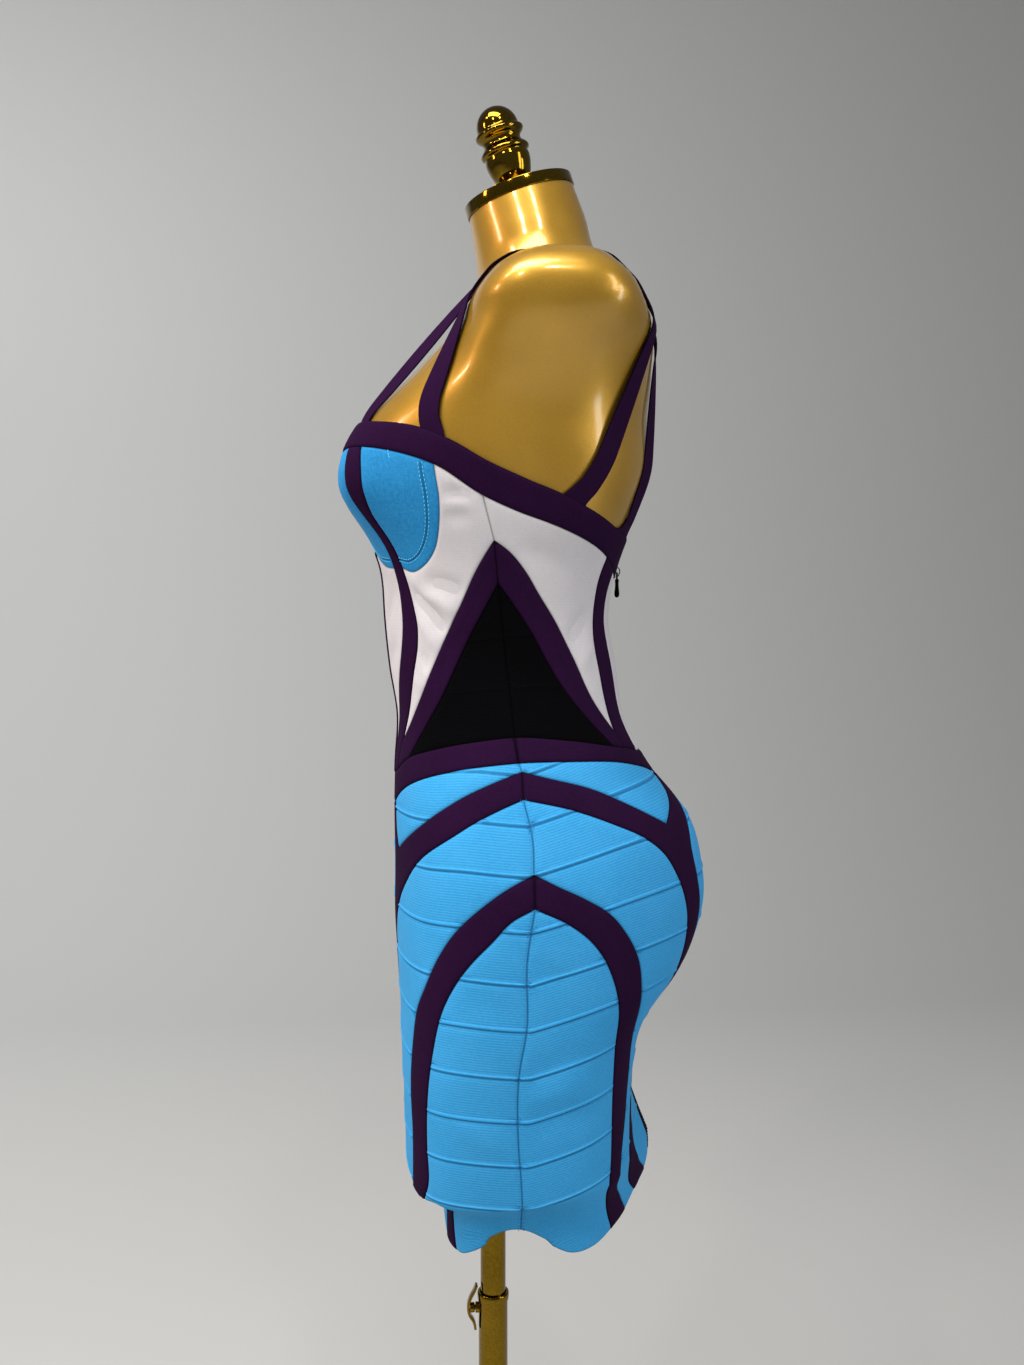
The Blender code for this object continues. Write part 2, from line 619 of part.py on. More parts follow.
# Pieces of the dress: cloth, rise, ribs, spacing of the inner points, outline. Mirrored pieces come in pairs.
PAIRS = (
    ("neck_band_back", PLUM, BAND_RISE, False, (22, 14),
     "neck_side neck_top neck_zip zip_edge low_zip neck_low low_side neck_seam neck_side"),
    ("cup_inner", BLUE, 0.0, False, (10.5, 10),
     "low_front neck_low low_princess_a princess_front_inner cup_princess cup_under cup_front front_seam"
     " low_front"),
    ("cup_side", BLUE, 0.0, False, (10.5, 10),
     "low_princess_b neck_low low_cup cup_edge cup_low princess_front_outer low_princess_b"),
    ("princess_band_front", PLUM, BAND_RISE, False, (9, 10),
     "low_princess_a neck_low low_princess_b princess_front_outer waist_b waist_top waist_a"
     " princess_front_inner low_princess_a"),
    ("centre_front_panel", WHITE, 0.0, False, (16, 16),
     "cup_band cup_under cup_princess princess_front_inner waist_a waist_top waist_band front_band cup_band"),
    ("side_front_panel", WHITE, 0.0, False, (16, 14),
     "low_cup neck_low low_side bodice_side chevron_top chevron_front_outer chevron_front"
     " princess_front_outer cup_low cup_edge low_cup"),
    ("side_back_panel", WHITE, 0.0, False, (18, 18),
     "low_side neck_low low_back_a princess_back_outer chevron_back chevron_back_outer chevron_top"
     " bodice_side low_side"),
    ("chevron_band", PLUM, BAND_RISE, False, (18, 18),
     "chevron_top chevron_front_outer chevron_front princess_front_outer waist_b waist_top waist_c"
     " chevron_front_inner triangle_top chevron_back_inner waist_d waist_top waist_e princess_back_outer"
     " chevron_back chevron_back_outer chevron_top"),
    ("side_triangle", BLACK, 0.0, False, (18, 18),
     "triangle_top chevron_front_inner waist_c waist_top waist_d chevron_back_inner triangle_top"),
    ("princess_band_back", PLUM, BAND_RISE, False, (14, 18),
     "low_back_a neck_low low_back_b princess_back_inner waist_f waist_top waist_e princess_back_outer"
     " low_back_a"),
    ("centre_back_panel", WHITE, 0.0, False, (18, 18),
     "low_back_b neck_low low_zip zip_edge waist_zip waist_top waist_f princess_back_inner low_back_b"),
    ("waist_band_back", PLUM, BAND_RISE, False, (18, 12),
     "waist_side waist_top waist_zip zip_edge hip_zip waist_low hip_side waist_seam waist_side"),
    ("hip_yoke_front", BLUE, 0.0, True, (16, 18),
     "hip_b waist_low hip_side yoke_seam arch_top arch_front_top tail_front tail_front_outer hip_b"),
    ("hip_yoke_back", BLUE, 0.0, True, (16, 18),
     "hip_side waist_low hip_c tail_back_outer tail_back arch_back_top arch_top yoke_seam hip_side"),
    ("outer_arch", PLUM, BAND_RISE, False, (20, 20),
     "hip_a waist_low hip_b tail_front_outer tail_front arch_front_top arch_top arch_back_top tail_back"
     " tail_back_outer hip_c waist_low hip_d tail_back_inner hem_f hem hem_e arch_back_low arch_low"
     " arch_front_low arch_foot diamond_seam diamond_foot tail_front_inner hip_a"),
    ("middle_back_panel", BLUE, 0.0, True, (22, 22),
     "arch_low arch_back_low hem_e hem hem_d inner_back_top inner_top middle_seam arch_low"),
    ("inner_arch", PLUM, BAND_RISE, False, (20, 20),
     "inner_top inner_front_top hem_a hem hem_b inner_front_low inner_low inner_back_low hem_c hem hem_d"
     " inner_back_top inner_top"),
    ("lower_side_front", BLUE, 0.0, True, (22, 22),
     "inner_low inner_front_low hem_b hem hem_side low_seam inner_low"),
    ("lower_side_back", BLUE, 0.0, True, (22, 22),
     "inner_low low_seam hem_side hem hem_c inner_back_low inner_low"),
    ("centre_back_skirt", BLUE, 0.0, True, (22, 22),
     "hip_d waist_low hip_zip zip_edge hem_zip hem hem_f tail_back_inner hip_d"),
)

# Single pieces that cross the middle; the chain runs from the middle to the middle on one half
MIDDLES = (
    ("neck_band_front", PLUM, BAND_RISE, False, (22, 12), -90,
     "neck_front neck_top neck_side neck_seam low_side neck_low low_front"),
    ("centre_front_band", PLUM, BAND_RISE, False, (18, 18), -90,
     "cup_front cup_under cup_band front_band waist_band waist_top waist_front"),
    ("waist_band_front", PLUM, BAND_RISE, False, (18, 12), -90,
     "waist_front waist_top waist_side waist_seam hip_side waist_low hip_front"),
    ("front_diamond", BLUE, 0.0, True, (22, 22), -90,
     "hip_front waist_low hip_a tail_front_inner diamond_foot"),
    ("skirt_front", BLUE, 0.0, True, (22, 22), -90,
     "arch_foot arch_front_low arch_low middle_seam inner_top inner_front_top hem_a hem hem_front"),
    ("zip_tape", BLACK, 0.0, False, (24, 24), 90,
     "neck_back zip_top neck_zip zip_edge hem_zip zip_foot hem_back"),
)

for piece, fabric, rise, ribbed, spacing, path in PAIRS:
    places = outline(path.split())
    wall(piece + "_l", places, fabric, rise, ribbed, spacing)
    wall(piece + "_r", places, fabric, rise, ribbed, spacing, mirrored=True)

for piece, fabric, rise, ribbed, spacing, across, path in MIDDLES:
    wall(piece, outline(path.split(), across), fabric, rise, ribbed, spacing)


# Straps: each is a taut ribbon from the front neckline band over the shoulder to the back neckline band
STRAP_COLUMNS = ("name", "front from", "front to", "shoulder x", "back from", "back to")
STRAPS = (
    ("strap_inner", -60, -50, 82, 46, 70),
    ("strap_outer", -29, -21.5, 101, 16, 25),
)
STRAP_STEP = 15.0
STRAP_FOOT_GAP = 0.5   # above the top edge of the neckline band


def band_top(deg):
    """Height of the neckline band's top edge."""
    points = trace("neck_top")[0]
    return linear(points, deg)


def strap_foot(a, b):
    """Three points along the foot of a strap on the neckline band, with the surface normal of each."""
    found = []
    for deg in (a, (a + b) / 2, b):
        height = band_top(deg) + STRAP_FOOT_GAP
        n = normal(deg, height)
        found.append((body(deg, height) - n * 0.6, n))
    return found


def strap_section(deg, height):
    return body(deg, height) + normal(deg, height) * (STRAP_LIFT - form_inset(height))


def taut(points):
    """The points of an over-arching chain that a taut strap touches, in side view."""
    hull = []
    for p in points:
        while len(hull) > 1:
            a, b = hull[-2][0], hull[-1][0]
            turn = (b.y - a.y) * (p[0].z - a.z) - (b.z - a.z) * (p[0].y - a.y)
            if turn < 0:
                break
            hull.pop()
        hull.append(p)
    return hull


def strap(name, front_a, front_b, top_x, back_a, back_b, mirrored):
    front, back = strap_foot(front_a, front_b), strap_foot(back_b, back_a)
    low_f, low_b = front[1][0], back[1][0]
    summit = max(h / 10 for h in range(13850, 14600) if section(h / 10)[0] > top_x + 0.2)
    chain = [(low_f, front[1][1])]
    count = 40
    for side, low in ((-1, low_f), (1, low_b)):
        rows = []
        for i in range(1, count):
            u = i / count
            height = low.z + 3 + (summit - low.z - 3) * (1 - (1 - u) ** 2.4)
            deg = at_x(low.x + (top_x - low.x) * u, height, side)
            rows.append((strap_section(deg, height), normal(deg, height)))
        chain += rows if side < 0 else rows[::-1]
    chain.append((low_b, back[1][1]))
    path = taut(chain)
    along = [0.0]
    for a, b in zip(path, path[1:]):
        along.append(along[-1] + (b[0] - a[0]).length)
    total = along[-1]

    def read(s):
        s_in = min(max(s, 0.0), total)
        k = max(i for i in range(len(path) - 1) if along[i] <= s_in)
        u = (s_in - along[k]) / (along[k + 1] - along[k])
        step = (path[k + 1][0] - path[k][0]).normalized()
        point = path[k][0].lerp(path[k + 1][0], u) + step * (s - s_in)
        return point, path[k][1].lerp(path[k + 1][1], u).normalized(), step

    sections = max(8, round(total / STRAP_STEP))
    rings = []
    for k in range(sections + 1):
        s = total * k / sections
        ring = []
        for m, offset in enumerate((-0.5, 0.0, 0.5)):
            skew = 0.0
            for foot, start, way in ((front, 0.0, 1), (back, total, -1)):
                fade = max(0.0, 1 - abs(s - start) / 90)
                _, _, step = read(start + way * 4)
                skew += (foot[m][0] - foot[1][0]).dot(step) * fade * fade
            point, n, step = read(s + skew)
            ahead = (read(s + skew + 6)[0] - read(s + skew - 6)[0]).normalized()
            across = ahead.cross(n).normalized()
            sign = 1 if (front[2][0] - front[0][0]).dot(read(4)[2].cross(front[1][1])) > 0 else -1
            n = across.cross(ahead).normalized()
            middle = point + across * (sign * offset * STRAP_WIDTH)
            if k in (0, sections):
                middle, n = (front if k == 0 else back)[m]
            ring.append((middle, n))
        rings.append(ring)
    points = []
    for ring in rings:
        points += [p + n * STRAP_THICK / 2 for p, n in ring]
        points += [p - n * STRAP_THICK / 2 for p, n in reversed(ring)]
    size = 6
    faces = []
    for k in range(sections):
        for i in range(size):
            j = (i + 1) % size
            faces.append([k * size + i, k * size + j, (k + 1) * size + j, (k + 1) * size + i])
    faces.append(list(range(size))[::-1])
    faces.append([sections * size + i for i in range(size)])
    if mirrored:
        points = [Vector((-p.x, p.y, p.z)) for p in points]
    obj = mesh_object(name, points, faces, PLUM)
    bm = bmesh.new()
    bm.from_mesh(obj.data)
    bmesh.ops.recalc_face_normals(bm, faces=bm.faces)
    bm.to_mesh(obj.data)
    bm.free()
    return obj


for name, *sizes in STRAPS:
    strap(name + "_l", *sizes, mirrored=False)
    strap(name + "_r", *sizes, mirrored=True)


# Dress form: rings from the flat bottom to the top of the neck
TORSO_COLUMNS = ("height", "how far the rounded bottom edge is set in")
TORSO_RINGS = (
    (FORM_BOTTOM, 22), (696, 14), (702, 7), (709, 2), (718, 0), (760, 0), (797, 0), (825, 0), (852, 0),
    (882, 0), (918, 0), (954, 0), (988, 0), (1018, 0), (1040, 0), (1060, 0), (1080, 0), (1100, 0),
    (1124, 0), (1150, 0), (1176, 0), (1196, 0), (1212, 0), (1227, 0), (1242, 0), (1258, 0), (1276, 0),
    (1298, 0), (1322, 0), (1348, 0), (1370, 0), (1387, 0), (1400, 0), (1410, 0), (1417, 0), (1421, 0),
    (1424, 0), (1427, 0), (1430, 0), (1434, 0), (1441, 0), (1453, 0), (1470, 0), (NECK_TOP, 0),
)
TORSO_DEGREES = [-90 + 9 * i for i in range(11)] + [15 * i for i in range(1, 7)]


def torso():
    half = [d for d in TORSO_DEGREES if d <= 90]
    way = half + [180 - d for d in reversed(half) if -90 < d < 90]
    points = []
    for height, inset in TORSO_RINGS:
        bottom = height < 718
        for deg in way:
            level = max(height, 718) if bottom else height
            n = normal(deg, level)
            p = body(deg, level) - n * form_inset(level)
            if bottom:
                flat = Vector((n.x, n.y, 0)).normalized()
                p -= flat * inset
                p.z = height
            points.append(p)
    size = len(way)
    faces = []
    for k in range(len(TORSO_RINGS) - 1):
        for i in range(size):
            j = (i + 1) % size
            faces.append([k * size + i, k * size + j, (k + 1) * size + j, (k + 1) * size + i])
    faces.append(list(range(size))[::-1])
    top = (len(TORSO_RINGS) - 1) * size
    faces.append([top + i for i in range(size)])
    return mesh_object("torso", points, faces, GOLD_SATIN, 50)


torso()

LEAN = math.radians(NECK_LEAN)
NECK_AXIS = Vector((0, -math.sin(LEAN), math.cos(LEAN)))
CAP_THICK = 10.0
CAP_RADIUS = 46.2
GAP = 0.3

cap_mesh = bpy.data.meshes.new("neck_cap")
bm = bmesh.new()
bmesh.ops.create_cone(bm, cap_ends=True, segments=32, radius1=CAP_RADIUS * MM, radius2=CAP_RADIUS * MM,
                      depth=CAP_THICK * MM)
rims = [e for e in bm.edges if abs(e.verts[0].co.z - e.verts[1].co.z) < 1e-6]
bmesh.ops.bevel(bm, geom=rims, offset=1.0 * MM, segments=1, affect="EDGES", profile=0.5)
bm.to_mesh(cap_mesh)
bm.free()
cap = bpy.data.objects.new("neck_cap", cap_mesh)
neck_end = Vector((0, NECK_CENTRE, NECK_TOP))
cap.location = (neck_end + NECK_AXIS * (GAP + CAP_THICK / 2)) * MM
cap.rotation_euler = (LEAN, 0, 0)
finish(cap, GOLD_POLISH, 30)

# Finial: heights above the cap, a dome over two rings and a goblet-shaped stem
DOME_CENTRE = 53.3
DOME_RADIUS = 17.6
dome = [(DOME_RADIUS * math.sin(math.radians(a)), DOME_CENTRE + DOME_RADIUS * math.cos(math.radians(a)))
        for a in (0, 20, 38, 56, 74, 94)]
finial = turned("finial", dome + [
    (18.6, 51.0), (20.3, 49.8), (20.1, 48.2), (17.6, 45.6), (15.9, 42.6), (16.3, 39.4), (18.9, 36.0),
    (20.3, 34.2), (20.0, 32.2), (18.2, 30.4), (18.7, 26.4), (17.4, 18.5), (14.6, 11.0), (12.5, 5.6),
    (14.0, 2.6), (14.2, GAP), (0.0, GAP),
], GOLD_POLISH, steps=15)
finial.location = (neck_end + NECK_AXIS * (GAP + CAP_THICK)) * MM
finial.rotation_euler = (LEAN, 0, 0)

# Stand
flange_top = FORM_BOTTOM - GAP
turned("socket_flange", [
    (0.0, flange_top), (30.0, flange_top), (31.0, flange_top - 2.5), (29.0, flange_top - 6.0),
    (19.0, flange_top - 8.5), (16.0, flange_top - 12.0), (15.0, flange_top - 17.0),
    (POLE_RADIUS + GAP, flange_top - 17.0), (POLE_RADIUS + GAP, flange_top - 4.0), (0.0, flange_top - 4.0),
], GOLD_POLISH)
turned("upper_tube", [
    (POLE_RADIUS, flange_top - 4.3), (POLE_RADIUS, POLE_BOTTOM), (POLE_RADIUS - 1.4, POLE_BOTTOM),
    (POLE_RADIUS - 1.4, flange_top - 4.3),
], GOLD_POLISH)
lower_tube = turned("lower_tube", [
    (TUBE_RADIUS, TUBE_TOP), (TUBE_RADIUS, BASE_THICK + GAP), (TUBE_BORE, BASE_THICK + GAP),
    (TUBE_BORE, TUBE_TOP),
], GOLD_POLISH)
turned("base", [
    (0.0, BASE_THICK), (TUBE_RADIUS + GAP, BASE_THICK), (TUBE_RADIUS + GAP, 34.0), (19.0, 34.0), (21.5, 32.5),
    (23.0, 28.0), (25.0, 19.0), (32.0, 14.5), (BASE_RADIUS - 8.0, 9.5),
    (BASE_RADIUS - 2.0, 7.0), (BASE_RADIUS, 3.5), (BASE_RADIUS - 1.5, 0.0), (0.0, 0.0),
], GOLD_POLISH, steps=24)

# Clamp screw: a boss on the lower tube, and the screw with its bowed lever
BOSS_RADIUS = 4.6
BOSS_END = 15.6
SCREW_RADIUS = 2.2
combine(lower_tube, rod("clamp_boss", BOSS_RADIUS, (0, -TUBE_BORE - 0.6, CLAMP_HEIGHT),
                        (0, -BOSS_END, CLAMP_HEIGHT)), "UNION")
combine(lower_tube, rod("clamp_bore", SCREW_RADIUS + GAP, (0, -TUBE_BORE + 1.0, CLAMP_HEIGHT),
                        (0, -BOSS_END - 2.0, CLAMP_HEIGHT)), "DIFFERENCE")

LEVER_WIDTH = 8.0
LEVER_COLUMNS = ("distance from the pole axis", "height from the screw axis", "thickness")
LEVER = (
    (14.4, 20.5, 1.2), (16.6, 15.0, 1.5), (19.8, 9.0, 2.0), (21.6, 3.5, 2.8), (21.7, -2.0, 3.0),
    (19.9, -7.5, 2.4), (17.6, -11.0, 2.0), (16.3, -14.5, 2.2), (15.6, -19.0, 2.4),
)
outside, back_side = [], []
for i, (away, level, thick) in enumerate(LEVER):
    a, b = LEVER[max(0, i - 1)], LEVER[min(len(LEVER) - 1, i + 1)]
    length = math.hypot(b[0] - a[0], b[1] - a[1])
    side = (-(b[1] - a[1]) / length, (b[0] - a[0]) / length)
    outside.append((away + side[0] * thick / 2, level + side[1] * thick / 2))
    back_side.append((away - side[0] * thick / 2, level - side[1] * thick / 2))
lever_curve = bpy.data.curves.new("lever_outline", "CURVE")
lever_curve.dimensions = "2D"
lever_curve.fill_mode = "BOTH"
lever_curve.extrude = LEVER_WIDTH / 2 * MM
spline = lever_curve.splines.new("POLY")
rim = outside + back_side[::-1]
spline.points.add(len(rim) - 1)
for point, (away, level) in zip(spline.points, rim):
    point.co = (-away * MM, level * MM, 0, 1)
spline.use_cyclic_u = True
lever_shape = bpy.data.objects.new("lever_outline", lever_curve)
cutters.objects.link(lever_shape)
lever_mesh = bpy.data.meshes.new_from_object(lever_shape.evaluated_get(bpy.context.evaluated_depsgraph_get()))
bm = bmesh.new()
bm.from_mesh(lever_mesh)
bmesh.ops.remove_doubles(bm, verts=bm.verts, dist=0.000005)
# the flat outline lies in X and Y: X becomes front to back, Y becomes height
for vert in bm.verts:
    away, level, across = vert.co
    vert.co = (across, away, level)
bmesh.ops.recalc_face_normals(bm, faces=bm.faces)
bm.to_mesh(lever_mesh)
bm.free()
bpy.data.objects.remove(lever_shape, do_unlink=True)
lever_mesh.name = "clamp_lever"
lever = finish(bpy.data.objects.new("clamp_lever", lever_mesh), GOLD_POLISH, 30)
lever.location = (0, 0, CLAMP_HEIGHT * MM)
for radius, start, end in ((4.2, 16.2, 20.6), (SCREW_RADIUS, 13.2, 18.0)):
    helper = rod("clamp_screw", radius, (0, -start, CLAMP_HEIGHT), (0, -end, CLAMP_HEIGHT))
    combine(lever, helper, "UNION")

# Zip slider with its bridge, and the pull tab whose top bar lies in the bridge
SLIDER_HEIGHT = 1190.0
SLIDER_LIFT = 0.75     # above the curved tape, so that its ends stay clear too
SLIDER_SIZE = (9.0, 2.4, 12.0)
BRIDGE = (2.2, 3.2, 8.4)
WINDOW = (4.0, 2.2, 6.2)
slider_out = normal(90, SLIDER_HEIGHT)
slider_at = cloth(90, SLIDER_HEIGHT, SLIDER_LIFT)
slider_tilt = math.atan2(slider_out.z, slider_out.y)
slider = cube("zip_slider", SLIDER_SIZE, (0, SLIDER_SIZE[1] / 2, 0), bevel=0.6)
bridge = cube("slider_bridge", (BRIDGE[0], BRIDGE[1] + 0.4, BRIDGE[2]),
              (0, SLIDER_SIZE[1] + BRIDGE[1] / 2 - 0.2, 0))
window = cube("slider_window", WINDOW, (0, SLIDER_SIZE[1] + 0.02 + WINDOW[1] / 2, 0))
for piece in (slider, bridge, window):
    piece.location = slider_at * MM
    piece.rotation_euler = (slider_tilt, 0, 0)
finish(slider, ZIP_METAL, 30)
combine(slider, bridge, "UNION")
combine(slider, window, "DIFFERENCE")

PULL_HALF_THICK = 0.5
PULL_OUTLINE = ((2.7, 0.55), (2.7, -4.6), (2.1, -6.4), (1.7, -9.0), (1.9, -13.0), (2.5, -17.0), (2.3, -19.6),
                (1.3, -21.2))
PULL_SLOT = ((1.55, -0.55), (1.55, -5.4), (0.9, -6.0))
pull_curve = bpy.data.curves.new("pull_tab", "CURVE")
pull_curve.dimensions = "2D"
pull_curve.fill_mode = "BOTH"
pull_curve.extrude = PULL_HALF_THICK * MM
for half in (PULL_OUTLINE, PULL_SLOT):
    loop = list(half) + [(-x, z) for x, z in reversed(half)]
    spline = pull_curve.splines.new("POLY")
    spline.points.add(len(loop) - 1)
    for point, (x, z) in zip(spline.points, loop):
        point.co = (x * MM, z * MM, 0, 1)
    spline.use_cyclic_u = True
pull = bpy.data.objects.new("pull_tab", pull_curve)
pull.data.materials.append(ZIP_METAL)
parts.objects.link(pull)
pull_axis = slider_at + slider_out * (SLIDER_SIZE[1] + 0.02 + WINDOW[1] / 2)
pull.location = pull_axis * MM
pull.rotation_euler = (math.radians(90), 0, 0)
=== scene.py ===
"""Looks of a bodycon dress in knitted panels and contrast bands, on a limbless gold dress form.

Sizes are millimetres and degrees. Places on the cloth are degrees round the body (-90 centre front,
0 side seam, 90 centre back) and height above the floor, for the wearer's left half. The right half
is its mirror image, with creases of its own.
"""

import math

import bmesh
import bpy
import numpy as np
from mathutils import Matrix, Vector
from mathutils.geometry import delaunay_2d_cdt


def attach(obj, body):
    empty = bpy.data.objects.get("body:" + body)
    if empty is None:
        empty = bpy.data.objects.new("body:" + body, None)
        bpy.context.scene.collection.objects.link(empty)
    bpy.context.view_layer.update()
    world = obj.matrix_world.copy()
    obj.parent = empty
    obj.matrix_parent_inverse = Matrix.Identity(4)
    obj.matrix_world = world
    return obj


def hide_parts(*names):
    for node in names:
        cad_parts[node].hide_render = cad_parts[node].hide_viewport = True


MM = 0.001

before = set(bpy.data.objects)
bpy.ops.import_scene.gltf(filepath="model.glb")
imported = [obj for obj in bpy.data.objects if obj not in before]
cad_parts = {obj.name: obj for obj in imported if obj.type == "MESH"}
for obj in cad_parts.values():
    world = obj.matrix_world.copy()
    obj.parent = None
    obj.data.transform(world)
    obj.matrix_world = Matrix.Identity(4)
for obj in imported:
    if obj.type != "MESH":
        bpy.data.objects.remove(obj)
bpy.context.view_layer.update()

# Cloth
CLOTH_THICK = 1.3      # a heavy knit
BAND_RISE = 0.6        # the contrast bands stand this far above the panels
TAPE_RISE = 0.5
ROUND = 2.3            # millimetres of girth for each degree, for laying the pattern out flat
EDGE_STEP = 3.5        # spacing of points along a seam
GRID = 4.6             # spacing of points inside a panel
SEAM_ROLL = 0.85       # how far an edge rolls down into its seam
SEAM_WIDE = 2.4        # over this width
SEAM_DARK = 0.9        # width of the shade along a seam
CREASE_ANGLE = 52      # faces that meet at more than this have a sharp edge between them

# Body surface, the outer face of the panels: height, half width, depth in front and behind, place of its
# centre, squareness and lean
SECTIONS = (
    (665, 137, 80, 100, 8, 3.0, 0),
    (710, 147, 83, 100, 8, 3.0, 0),
    (750, 152, 84, 100, 8, 3.0, 0),
    (790, 156, 86, 104, 8, 2.9, 0),
    (830, 160, 87, 115, 8, 2.7, 0),
    (870, 162, 89, 143, 8, 2.5, 0),
    (910, 163, 91, 155, 8, 2.35, 0),
    (950, 161, 91, 154, 8, 2.3, 0),
    (990, 151, 91, 148, 8, 2.3, 0),
    (1030, 135, 90, 120, 8, 2.3, 0),
    (1070, 118, 88, 101, 8, 2.3, 0),
    (1110, 109, 94, 95, 8, 2.3, 0),
    (1150, 109, 98, 88, 8, 2.3, 0),
    (1190, 116, 100, 94, 8, 2.3, 0),
    (1230, 128, 106, 108, 8, 2.3, 0),
    (1270, 138, 112, 120, 9, 2.3, 0),
    (1310, 147, 105, 118, 11, 2.3, 0),
    (1348, 163, 84, 110, 20, 2.4, 0),
    (1374, 175, 70, 94, 30, 2.9, 0),
    (1391, 176, 64, 75, 35, 3.8, 0),
    (1404, 173, 57, 66, 37, 3.6, 0),
    (1414, 165, 52, 57, 39, 3.0, 0),
    (1420.5, 153, 47, 53, 41, 2.6, 0),
    (1424, 136, 49, 54, 41.5, 2.2, 1),
    (1427, 106, 50.5, 54, 41, 2.1, 2),
    (1430.5, 84, 51, 54, 40, 2.0, 4),
    (1436, 68, 50.5, 53, 38.5, 2.0, 6),
    (1448, 58, 49, 49, 36, 2.0, 9),
    (1469, 51.5, 47.5, 47.5, 31.5, 2.0, 13),
    (1493.9, 45.5, 45, 45, 24.3, 2.0, 18),
)

# Swellings and hollows on both halves: distance from the middle, height, half width, extent below and
# above, how far out; with a dip they join across the middle
FRONT_SWELLS = (
    (80, 1257, 48, 40, 70, 36, 0.4),
    (131, 1340, 17, 34, 34, -10, None),
    (90, 1402, 34, 30, 18, -9, None),
)
BACK_SWELLS = (
    (72, 940, 60, 70, 60, 14, 0.3),
)

# Hem below the form: how far the free cloth turns in (-) by degrees, where that starts, and how far it
# flares out at centre back by height
HEM_LINE = 672.0
HEM_CURL = ((-90, -28), (-36, -28), (0, -16), (30, -10), (60, 0), (90, 0))
HEM_BEND = ((-90, 697), (-36, 697), (0, 706), (30, 712), (90, 716))
FLARE = ((690, 27), (705, 26), (722, 19), (742, 12), (777, 6), (812, 0))
FLARE_WIDTH = 30.0

# Dress form: gap between cloth and skin by height, and how far its foot rounds in to the flat bottom
FORM_GAP = ((820, 3.2), (850, 3.6), (880, 3.0), (910, 2.5), (970, 2.5), (1010, 2.1), (1040, 1.6), (1100, 1.3))
BARE_FROM = 1400       # above this the skin is bare and reaches the panels' face
FORM_BOTTOM, ROUND_TOP, NECK_TOP = 692.0, 718, 1493.9
FORM_FOOT = ((FORM_BOTTOM, 22), (696, 14), (702, 7), (709, 2), (ROUND_TOP, 0), (760, 0))
FORM_LEVELS = (*(level for level, _ in FORM_FOOT), 1348, 1391, 1410, 1417, 1421, 1424, 1427, 1430, 1436, 1448,
               NECK_TOP)


def smooth(table, places):
    """Rows of a table of (place, values...) read smoothly at many places."""
    rows = np.array(table, float)
    xs, values = rows[:, 0], rows[:, 1:]
    gaps = np.diff(xs)[:, None]
    steps = np.diff(values, axis=0) / gaps
    slopes = np.empty_like(values)
    slopes[0], slopes[-1] = steps[0], steps[-1]
    slopes[1:-1] = (steps[:-1] * gaps[1:] + steps[1:] * gaps[:-1]) / (gaps[:-1] + gaps[1:])
    x = np.clip(np.asarray(places, float), xs[0], xs[-1])
    k = np.clip(np.searchsorted(xs, x, side="right") - 1, 0, len(xs) - 2)
    span = gaps[k]
    u = (x - xs[k])[:, None] / span
    return ((2 * u**3 - 3 * u**2 + 1) * values[k] + (u**3 - 2 * u**2 + u) * slopes[k] * span
            + (3 * u**2 - 2 * u**3) * values[k + 1] + (u**3 - u**2) * slopes[k + 1] * span)


def linear(table, places):
    return np.interp(places, *np.array(table, float).T)


def even(rows, step):
    """Even points along a smooth line through flat points."""
    rows = np.array(rows, float)
    along = np.concatenate(([0.0], np.cumsum(np.hypot(*np.diff(rows, axis=0).T))))
    marks = np.linspace(0, along[-1], max(2, round(along[-1] / step)) + 1)
    return smooth(np.column_stack((along, rows)), marks)


def unit(vectors):
    return vectors / np.linalg.norm(vectors, axis=-1, keepdims=True)


def swell(x, height, rows):
    total = np.zeros_like(x)
    x = np.abs(x)
    for place, level, width, below, above, out, dip in rows:
        across = np.exp(-((x - place) / width) ** 2)
        if dip is not None:
            across = np.where(x < place, 1 - dip * (0.5 + 0.5 * np.cos(math.pi * x / place)), across)
        extent = np.where(height < level, below, above)
        total += out * across * np.exp(-((height - level) / extent) ** 2)
    return total


def body(deg, height):
    """Points of the body surface, one row for each place."""
    deg, height = np.broadcast_arrays(np.asarray(deg, float), np.asarray(height, float))
    half, front, back, centre, square, lean = smooth(SECTIONS, height).T
    co, si = np.cos(np.radians(deg)), np.sin(np.radians(deg))
    depth = np.where(si < 0, front, back)
    r = ((np.abs(co) / half) ** square + (np.abs(si) / depth) ** square) ** (-1 / square)
    lean = np.radians(lean)
    x = r * co
    y = centre + r * si * np.cos(lean)
    y = y - swell(x, height, FRONT_SWELLS) * np.maximum(-si, 0)
    y = y + swell(x, height, BACK_SWELLS) * np.maximum(si, 0)
    return np.stack((x, y, height + r * si * np.sin(lean)), -1)


def normal(deg, height):
    deg, height = np.asarray(deg, float), np.asarray(height, float)
    around = body(deg + 0.5, height) - body(deg - 0.5, height)
    up = body(deg, height + 1) - body(deg, height - 1)
    return unit(np.cross(around, up))


def folded(deg):
    """The same place on the wearer's left half."""
    return np.where(deg < -90, -180 - deg, np.where(deg > 90, 180 - deg, deg))


def hem_shift(deg, height):
    place = folded(deg)
    bend = linear(HEM_BEND, place)
    u = np.clip((bend - height) / (bend - HEM_LINE), 0, 1)
    curl = linear(HEM_CURL, place) * (1 - (1 - u) ** 2)
    flare = linear(FLARE, height) * np.exp(-((place - 90) / FLARE_WIDTH) ** 2)
    return curl + np.where(height < FLARE[-1][0], flare, 0)


